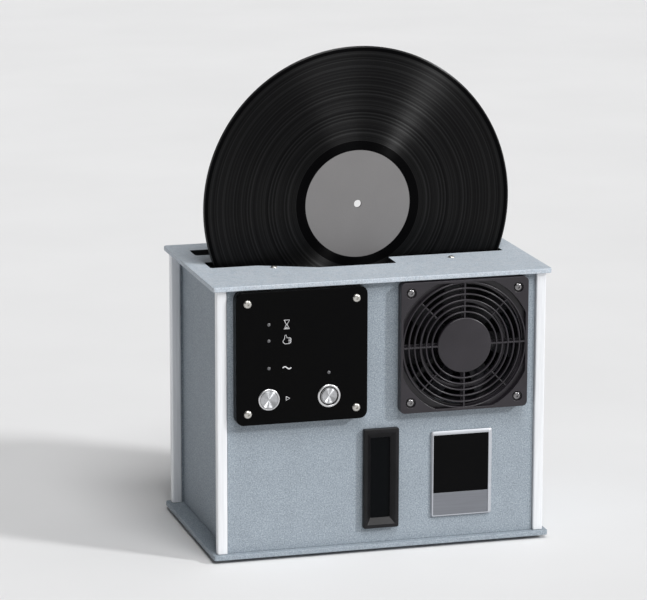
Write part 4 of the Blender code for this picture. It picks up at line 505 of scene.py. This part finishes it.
def record_pieces():
    low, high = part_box("vinyl_record")
    middle = (low + high) / 2
    radius = (high.x - low.x) / 2
    half = (high.y - low.y) / 2
    hole, label, lead_out, bead = 0.0036, 0.0516, 0.0610, 0.0036
    front = [
        (hole, -half * 0.86),
        (label, -half * 0.86),
        (label + 0.0004, -half),
        (label + 0.0026, -half),
        (label + 0.0034, -half * 0.92),
        (lead_out, -half * 0.92),
        (lead_out + 0.0004, -half * 0.86),
        (radius - bead - 0.0006, -half * 0.86),
        (radius - bead, -half * 0.98),
        (radius - 0.0008, -half),
        (radius - 0.0002, -half * 0.7),
        (radius, 0),
    ]
    rear = [(reach, -along) for reach, along in reversed(front[:-1])]
    disc = object_of("record_disc", turned(front + rear, "Y", 360, closed=True), vinyl, middle, "record", 50)
    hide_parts("vinyl_record")
    for side, name in ((-1, "record_label_front"), (1, "record_label_rear")):
        thick = half * 0.12
        face = side * half * 0.99
        profile = [
            (hole, face - side * thick),
            (hole, face),
            (0.0170, face),
            (0.0171, face - side * 0.00004),
            (0.0175, face - side * 0.00004),
            (0.0176, face),
            (label - 0.0002, face),
            (label - 0.0001, face - side * thick),
        ]
        object_of(name, turned(profile, "Y", 256, closed=True), paper, middle, "record", 20)


# Finger guard and filter frame


def band(name, inner, outer, front, back, surface, place, steps=FINE_STEPS, edge=0.0003):
    """A ring with a rounded front."""
    profile = [(inner, back)]
    for step in range(ROUND_STEPS + 1):
        angle = math.pi / 2 * step / ROUND_STEPS
        profile.append((inner + edge * (1 - math.cos(angle)), front + edge * (1 - math.sin(angle))))
    for step in range(ROUND_STEPS + 1):
        angle = math.pi / 2 * (1 - step / ROUND_STEPS)
        profile.append((outer - edge * (1 - math.cos(angle)), front + edge * (1 - math.sin(angle))))
    profile.append((outer, back))
    return object_of(name, turned(profile, "Y", steps, closed=True), surface, place, smooth=50)


def bar(name, start, end, width, front, back, turn, surface, place):
    """A straight rib between two radii, turned about the fan's axis."""
    half = width / 2
    outline = [(start, -half), (end, -half), (end, half), (start, half)]
    bm = prism(outline, "Y", front, back)
    bmesh.ops.rotate(bm, verts=bm.verts, cent=(0, 0, 0), matrix=Matrix.Rotation(-turn, 3, "Y"))
    return softened(object_of(name, bm, surface, place), 0.0003, 2)


def clipped_circle(radius, half, steps=24):
    start = math.acos(half / radius)
    sweep = math.pi / 2 - 2 * start
    outline = []
    for quarter in range(4):
        for step in range(steps + 1):
            angle = quarter * math.pi / 2 + start + sweep * step / steps
            outline.append((radius * math.cos(angle), radius * math.sin(angle)))
    return outline


def hex_radius(across_flats):
    def radius(angle):
        return across_flats / 2 / math.cos((angle + math.pi / 6) % (math.pi / 3) - math.pi / 6)

    return radius


def socket_screw(name, place, radius, height, socket, surface, body=BODY, facing=-1, axis="Y"):
    """A button-head screw with a hexagon socket, its head standing on the place."""
    dome = [
        (radius, 0),
        (radius, facing * height * 0.18),
        (radius * 0.94, facing * height * 0.5),
        (radius * 0.78, facing * height * 0.82),
        (radius * 0.6, facing * height * 0.97),
        (socket * 0.66, facing * height),
    ]
    hexagon = hex_radius(socket)
    floor = facing * height * 0.25
    well = [(hexagon, facing * height * 0.985), (hexagon, floor), (0, floor * 0.9)]
    return object_of(name, turned(dome + well, axis, SMALL_STEPS), surface, place, body, 40)


SHELL_CORNER = 0.0045
GUARD_RINGS = 6
RING_FIRST, RING_PITCH, RING_HALF = 0.0317, 0.00568, 0.0008


def guard_pieces():
    low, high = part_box("fan_guard")
    middle = (low + high) / 2
    place = (middle.x, low.y, middle.z)
    side = high.x - low.x
    depth = high.y - low.y
    outline = rounded_box_outline(side, side, SHELL_CORNER)
    shell = object_of("guard_frame", prism(outline, "Y", 0, depth), guard_plastic, place)
    bpy.context.view_layer.update()
    cut_from(shell, prism(clipped_circle(0.066, 0.060), "Y", -0.002, depth + 0.002), "guard_opening")
    reach = 0.0525
    bores = bmesh.new()
    for across in (-reach, reach):
        for up in (-reach, reach):
            prism(circle(0.0048, SMALL_STEPS, across, up), "Y", -0.002, 0.0022, bores)
    cut_from(shell, bores, "guard_bores")
    softened(shell, 0.0005, 3)
    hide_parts("fan_guard")
    for index in range(GUARD_RINGS):
        radius = RING_FIRST + index * RING_PITCH
        inner, outer = radius - RING_HALF, radius + RING_HALF
        name = f"guard_ring_{index + 1}"
        band(name, inner, outer, 0.0004, 0.0030, guard_plastic, place, edge=RING_HALF)
    for quarter in range(4):
        turn = quarter * math.pi / 2
        name = f"guard_spoke_{quarter + 1}"
        bar(name, 0.020, 0.0602, 0.0016, 0.0008, 0.0034, turn, guard_plastic, place)
        slant = turn + math.pi / 4
        name = f"guard_brace_{quarter + 1}"
        bar(name, 0.0365, 0.0595, 0.0012, 0.0012, 0.0032, slant, guard_plastic, place)
    hub = [
        (0, 0.0002),
        (0.0252, 0.0002),
        (0.0259, 0.0004),
        (0.0262, 0.0009),
        (0.0262, 0.0036),
        (0, 0.0036),
    ]
    object_of("guard_hub", turned(hub, "Y"), guard_plastic, place, smooth=50)
    for row, up in (("low", -reach), ("high", reach)):
        for column, across in (("left", -reach), ("right", reach)):
            spot = (middle.x + across, low.y + 0.0022, middle.z + up)
            socket_screw(f"guard_screw_{row}_{column}", spot, 0.0039, 0.0019, 0.0025, dark_screw)


def filter_pieces():
    low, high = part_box("fan_filter_frame")
    middle = (low + high) / 2
    place = (middle.x, low.y, middle.z)
    side = high.x - low.x
    depth = high.y - low.y
    outline = rounded_box_outline(side, side, SHELL_CORNER)
    shell = object_of("filter_frame_shell", prism(outline, "Y", 0, depth), guard_plastic, place)
    bpy.context.view_layer.update()
    cut_from(shell, prism(circle(0.0575, FINE_STEPS), "Y", -0.002, depth + 0.002), "filter_opening")
    softened(shell, 0.0005, 3)
    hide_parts("fan_filter_frame")
    front = depth - (depth + 0.0022) / 2
    for quarter in range(4):
        turn = quarter * math.pi / 2
        name = f"filter_rib_{quarter + 1}"
        bar(name, 0.020, 0.0585, 0.0042, front, front + 0.0022, turn, guard_plastic, place)
    band("filter_ring", 0.0395, 0.0425, front + 0.0004, front + 0.0026, guard_plastic, place)
    hub = [
        (0, front - 0.0004),
        (0.0237, front - 0.0004),
        (0.024, front - 0.0001),
        (0.024, front + 0.0018),
        (0, front + 0.0018),
    ]
    object_of("filter_hub", turned(hub, "Y"), guard_plastic, place, smooth=50)


# Control panel


def switch_pieces(prefix, cap_node, ring_node, groove):
    """The ring and the dished, spun cap of a push button."""
    low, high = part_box(ring_node)
    centre = (low + high) / 2
    ring_radius = (high.x - low.x) / 2
    cap_low, cap_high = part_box(cap_node)
    cap_radius = (cap_high.x - cap_low.x) / 2
    bore = cap_radius + 0.0003
    place = (centre.x, low.y, centre.z)
    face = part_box("control_face")[0].y - low.y
    barrel = ring_radius - 0.00095
    profile = [
        (0, high.y - low.y),
        (barrel, high.y - low.y),
        (barrel, face - 0.0002),
        (ring_radius, face - 0.0002),
        (ring_radius, 0.0009),
        (ring_radius - 0.0002, 0.0004),
        (ring_radius - 0.0007, 0.0001),
        (ring_radius - 0.0011, 0),
    ]
    depth = cap_high.y - low.y + 0.0018
    if groove:
        lip = ring_radius - 0.0019
        profile += [(lip + 0.0002, 0), (lip, 0.0002), (lip, 0.0009), (bore, 0.0009)]
        profile += [(bore, depth), (0, depth)]
        band(f"{prefix}_seal", bore + 0.0004, lip - 0.0002, 0.0003, 0.0009, rubber, place, edge=0.0001)
    else:
        profile += [(bore + 0.0002, 0), (bore, 0.0003), (bore, depth), (0, depth)]
    ring = object_of(f"{prefix}_ring", turned(profile, "Y"), ring_steel, place, smooth=40)
    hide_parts(ring_node)
    cap_place = (centre.x, cap_low.y, centre.z)
    cap = [
        (0, 0.0011),
        (cap_radius * 0.35, 0.00085),
        (cap_radius * 0.7, 0.0004),
        (cap_radius - 0.0011, 0.00015),
        (cap_radius - 0.0007, 0),
        (cap_radius - 0.0001, 0.0002),
        (cap_radius, 0.0006),
        (cap_radius, cap_high.y - cap_low.y),
        (0, cap_high.y - cap_low.y),
    ]
    piece = object_of(f"{prefix}_cap", turned(cap, "Y"), spun_steel, cap_place, cap_node, 40)
    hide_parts(cap_node)


def mark(name, strokes, width, across, up):
    """A thin printed mark on the control panel's face, from strokes of (across, up) points."""
    curve = bpy.data.curves.new(name, "CURVE")
    curve.dimensions = "3D"
    curve.bevel_depth = width / 2
    curve.bevel_resolution = 3
    curve.use_fill_caps = True
    for stroke in strokes:
        line = curve.splines.new("POLY")
        line.points.add(len(stroke) - 1)
        for point, (x, z) in zip(line.points, stroke):
            point.co = (x, 0, z, 1)
    curve.materials.append(ink)
    piece = bpy.data.objects.new(name, curve)
    piece.location = (across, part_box("control_face")[0].y, up)
    piece.scale = (1, 0.12, 1)
    bpy.context.scene.collection.objects.link(piece)
    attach(piece, BODY)
    return piece


def control_pieces():
    face_low, face_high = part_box("control_face")
    middle = (face_low + face_high) / 2
    switch_pieces("start", "start_button", "start_switch", False)
    switch_pieces("power", "power_button", "power_switch", True)
    reach = 0.0521
    for row, up in (("low", -reach), ("high", reach)):
        for column, across in (("left", -reach), ("right", reach)):
            spot = (middle.x + across, face_low.y, middle.z + up)
            socket_screw(f"panel_screw_{row}_{column}", spot, 0.0039, 0.0021, 0.0025, screw_steel)
    lamps = [(-0.1126, 0.2270), (-0.1126, 0.2117), (-0.1126, 0.18565), (-0.0551, 0.17845)]
    for index, (across, up) in enumerate(lamps):
        profile = [(0.00155, 0.0002), (0.0015, -0.0002), (0.0012, -0.0005), (0.0006, -0.00066), (0, -0.0007)]
        object_of(f"lamp_lens_{index + 1}", turned(profile, "Y", SMALL_STEPS), lens, (across, face_low.y, up))
    glass_shape = [(-0.0026, 0.0042), (0.0026, 0.0042), (0.0003, 0), (0.0026, -0.0042), (-0.0026, -0.0042)]
    sand = [(-0.0016, -0.0037), (0.0016, -0.0037), (0, -0.0024), (-0.0016, -0.0037)]
    mark("mark_wait", [glass_shape + [(-0.0003, 0), (-0.0026, 0.0042)], sand], 0.0006, -0.0955, 0.2264)
    hand = [(-0.0038, -0.0014), (-0.0023, 0.0009), (-0.0019, 0.0040), (-0.0006, 0.0043), (-0.0001, 0.0016)]
    hand += [(0.0031, 0.0014), (0.0039, 0.0004), (0.0037, -0.0026), (0.0026, -0.0039), (-0.0017, -0.0041)]
    hand += [(-0.0035, -0.0028), (-0.0038, -0.0014)]
    fingers = [[(0.0014, up), (0.0037, up)] for up in (0.0002, -0.0012, -0.0026)]
    mark("mark_ready", [hand, *fingers], 0.00055, -0.0953, 0.2122)
    wave = [(0.0041 * (2 * t / 16 - 1), 0.0011 * math.sin(2 * math.pi * t / 16)) for t in range(17)]
    mark("mark_dry", [wave], 0.0012, -0.0953, 0.1854)
    arrow = [(-0.0016, 0.0019), (0.0019, 0), (-0.0016, -0.0019), (-0.0016, 0.0019)]
    mark("mark_start", [arrow], 0.0007, -0.0945, 0.1562)


# Small pieces


def top_screws():
    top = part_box("top_plate")[1].z
    places = [(-0.0875, -0.0275), (0.0875, -0.0275), (-0.110, 0.0205), (0.110, 0.0205)]
    for index, (x, y) in enumerate(places):
        name = f"top_screw_{index + 1}"
        socket_screw(name, (x, y, top), 0.0031, 0.0016, 0.0020, screw_steel, facing=1, axis="Z")


def under_screws():
    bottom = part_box("base_plate")[0].z
    for name in ("post_front_left", "post_front_right", "post_rear_left", "post_rear_right"):
        middle = centre_of(name)
        profile = [(0.0031, 0.0001), (0.0031, 0.0003), (0.0017, 0.0016), (0.0017, 0.0050), (0, 0.0050)]
        hexagon = hex_radius(0.0020)
        head = [(0, 0.0011), (hexagon, 0.0011), (hexagon, 0.0001)]
        place = (middle.x, middle.y, bottom)
        object_of(f"under_screw_{name[5:]}", turned(head + profile, "Z", SMALL_STEPS), screw_steel, place)


BADGE_BORDER = 0.0016
BADGE_FIELD = 0.0565
FIELD_GAP = 0.0002


def badge_field():
    """The black enamel in the sunk field of the metal plate."""
    low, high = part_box("badge_plate")
    width = high.x - low.x - 2 * BADGE_BORDER - FIELD_GAP
    height = BADGE_FIELD - FIELD_GAP
    up = high.z - BADGE_BORDER - BADGE_FIELD / 2
    outline = rounded_box_outline(width, height, 0.0004)
    field = prism(outline, "Y", 0.00025, 0.00048)
    object_of("badge_enamel_field", field, enamel, ((low.x + high.x) / 2, low.y, up))


def badge_rim():
    """The raised, bevelled border of polished metal round the plate."""
    low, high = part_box("badge_plate")
    left, right, down, above = 0.0004, 0.0020, 0.0003, 0.0020
    inset, flat, proud, lift, sunk = 0.0015, 0.0008, 0.0005, 0.0002, 0.0002
    inner_corner, ridge_corner, outer_corner = 0.0006, 0.0010, 0.0022
    slope_share = 0.55
    width = high.x - low.x + left + right
    height = high.z - low.z + down + above
    place = ((low.x + high.x + right - left) / 2, low.y, (low.z + high.z + above - down) / 2)
    depth = high.y - low.y - lift
    middle = Vector(((left - right) / 2, (down - above) / 2))
    inner = rounded_box_outline(high.x - low.x - 2 * inset, high.z - low.z - 2 * inset, inner_corner)
    edge = inset - flat
    ridge = rounded_box_outline(high.x - low.x - 2 * edge, high.z - low.z - 2 * edge, ridge_corner)
    outer = rounded_box_outline(width, height, outer_corner)
    inner = [(x + middle.x, y + middle.y) for x, y in inner]
    ridge = [(x + middle.x, y + middle.y) for x, y in ridge]
    bm = bmesh.new()
    sections = (
        (inner, sunk),
        (inner, -proud),
        (ridge, -proud),
        (outer, depth * slope_share),
        (outer, depth),
        (inner, depth),
    )
    loops = []
    for outline, along in sections:
        loops.append([bm.verts.new((x, along, y)) for x, y in outline])
    for lower, upper in zip(loops, loops[1:]):
        for index in range(len(lower)):
            follow = (index + 1) % len(lower)
            bm.faces.new((lower[index], lower[follow], upper[follow], upper[index]))
    object_of("badge_rim", bm, rim_metal, place)


def inlet_pieces():
    low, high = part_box("power_inlet")
    middle = (low + high) / 2
    floor = high.y - 0.015
    for name, across, up in (("left", -0.007, -0.0005), ("middle", 0, 0.0035), ("right", 0.007, -0.0005)):
        outline = rounded_box_outline(0.0022, 0.0042, 0.0005, 4)
        spot = (middle.x + across, floor, middle.z + up)
        pin = object_of(f"inlet_pin_{name}", prism(outline, "Y", 0, 0.0112), pin_metal, spot)
        softened(pin, 0.0003, 2)
    for name, across in (("left", -0.0195), ("right", 0.0195)):
        spot = (middle.x + across, high.y, middle.z)
        socket_screw(f"inlet_screw_{name}", spot, 0.0026, 0.0014, 0.0018, screw_steel, facing=1)


def barrel_pieces():
    """Round cleaning barrels with a soft pile, hollow in the middle."""
    for side in ("front_left", "front_right", "rear_left", "rear_right"):
        low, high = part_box("barrel_" + side)
        middle = (low + high) / 2
        radius = (high.x - low.x) / 2
        height = high.z - low.z
        place = (middle.x, middle.y, low.z)
        profile = [(0.0043, 0), (radius - 0.0022, 0), (radius - 0.0006, 0.0008), (radius - 0.0001, 0.0024)]
        profile += [(radius - 0.0001, height - 0.0024), (radius - 0.0006, height - 0.0008)]
        profile += [(radius - 0.0022, height), (0.0043, height)]
        barrel = turned(profile, "Z", 96, closed=True)
        piece = object_of("pile_" + side, barrel, pile, place, "barrel_" + side, 60)
        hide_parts("barrel_" + side)


def foot_pieces():
    for side in ("front_left", "front_right", "rear_left", "rear_right"):
        low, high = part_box("foot_" + side)
        middle = (low + high) / 2
        radius = (high.x - low.x) / 2
        height = high.z - low.z
        profile = [
            (0, 0.0005),
            (radius - 0.0045, 0.0005),
            (radius - 0.0040, 0),
            (radius - 0.0012, 0),
            (radius - 0.0004, 0.0004),
            (radius, 0.0012),
            (radius, height),
            (0, height),
        ]
        piece = object_of("foot_pad_" + side, turned(profile, "Z", 96), rubber, (middle.x, middle.y, low.z))
        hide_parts("foot_" + side)


record_pieces()
guard_pieces()
filter_pieces()
control_pieces()
top_screws()
under_screws()
badge_field()
badge_rim()
inlet_pieces()
barrel_pieces()
foot_pieces()


# Floor, backdrop, light and camera

FLOOR_FLAT = 9.0
FLOOR_REACH = 30.0
BACKDROP_HEIGHT = 6.0
BACKDROP_STEPS = 24
FLOOR_DROP = -0.0002
KEY_DIRECTION = (0.62, -0.50, 0.60)
WORLD_STRENGTH = 1.0


def floor():
    """A flat floor that sweeps up far away, all round, into a pale backdrop."""
    profile = [(0, FLOOR_DROP), (FLOOR_FLAT, FLOOR_DROP)]
    for step in range(1, BACKDROP_STEPS + 1):
        share = step / BACKDROP_STEPS
        reach = FLOOR_FLAT + (FLOOR_REACH - FLOOR_FLAT) * share
        profile.append((reach, FLOOR_DROP + BACKDROP_HEIGHT * share**3))
    bm = turned(profile, "Z", FINE_STEPS)
    bmesh.ops.recalc_face_normals(bm, faces=bm.faces)
    mesh = bpy.data.meshes.new("floor")
    bm.to_mesh(mesh)
    bm.free()
    mesh.shade_smooth()
    made, tree, shader = new_material("pale_floor")
    grain = noise(tree, 3.0)
    tone = ramp(tree, grain, [(0.3, (0.72, 0.72, 0.725)), (0.7, (0.75, 0.75, 0.755))])
    tree.links.new(tone, shader.inputs["Base Color"])
    shader.inputs["Roughness"].default_value = 0.75
    shader.inputs["Specular IOR Level"].default_value = 0.15
    mesh.materials.append(made)
    ground = bpy.data.objects.new("floor", mesh)
    bpy.context.scene.collection.objects.link(ground)


def distant_lamp(name, direction, spread, strength):
    """An even, soft light from far away, its spread in degrees."""
    light = bpy.data.lights.new(name, "SUN")
    light.angle = math.radians(spread)
    light.energy = strength
    made = bpy.data.objects.new(name, light)
    made.rotation_euler = Vector(direction).to_track_quat("Z", "Y").to_euler()
    bpy.context.scene.collection.objects.link(made)


def world():
    """Soft light all round, strongest from the front right and above."""
    made = bpy.data.worlds.new("studio")
    bpy.context.scene.world = made
    made.use_nodes = True
    tree = made.node_tree
    tree.nodes.clear()
    side = linked(tree, "ShaderNodeVectorMath")
    side.operation = "DOT_PRODUCT"
    tree.links.new(tree.nodes.new("ShaderNodeTexCoord").outputs["Generated"], side.inputs[0])
    side.inputs[1].default_value = KEY_DIRECTION
    reach = linked(tree, "ShaderNodeMapRange", Value=side.outputs["Value"])
    reach.inputs["From Min"].default_value = -1.0
    shade = ramp(tree, reach.outputs["Result"], [(0.2, 0.03), (0.62, 0.10), (1.0, 0.6)])
    glow = linked(tree, "ShaderNodeBackground", Color=shade, Strength=WORLD_STRENGTH)
    out = tree.nodes.new("ShaderNodeOutputWorld")
    tree.links.new(glow.outputs["Background"], out.inputs["Surface"])


CAMERA_PLACE = Vector((-0.90862, -3.08501, 0.94658))
CAMERA_YAW, CAMERA_PITCH, CAMERA_ROLL = 0.277107, 0.221800, -0.002228
FOCAL_PIXELS, PICTURE_WIDTH, SENSOR_MM = 3449.415, 647, 36.0


def camera():
    sight = bpy.data.cameras.new("photo_camera")
    sight.sensor_width = SENSOR_MM
    sight.lens = FOCAL_PIXELS / PICTURE_WIDTH * SENSOR_MM
    sight.clip_end = 200
    made = bpy.data.objects.new("photo_camera", sight)
    forward = Vector(
        (
            math.sin(CAMERA_YAW) * math.cos(CAMERA_PITCH),
            math.cos(CAMERA_YAW) * math.cos(CAMERA_PITCH),
            -math.sin(CAMERA_PITCH),
        )
    )
    level = Vector((math.cos(CAMERA_YAW), -math.sin(CAMERA_YAW), 0))
    down = forward.cross(level)
    right = level * math.cos(CAMERA_ROLL) + down * math.sin(CAMERA_ROLL)
    under = down * math.cos(CAMERA_ROLL) - level * math.sin(CAMERA_ROLL)
    turn = Matrix((right, -under, -forward)).transposed()
    made.matrix_world = Matrix.Translation(CAMERA_PLACE) @ turn.to_4x4()
    bpy.context.scene.collection.objects.link(made)
    bpy.context.scene.camera = made


floor()
distant_lamp("key_right", (0.70, -0.55, 0.46), 7, 2.05)
distant_lamp("top_soft", (0.05, -0.50, 0.86), 30, 1.9)
world()
camera()
bpy.context.scene.view_settings.view_transform = "Standard"
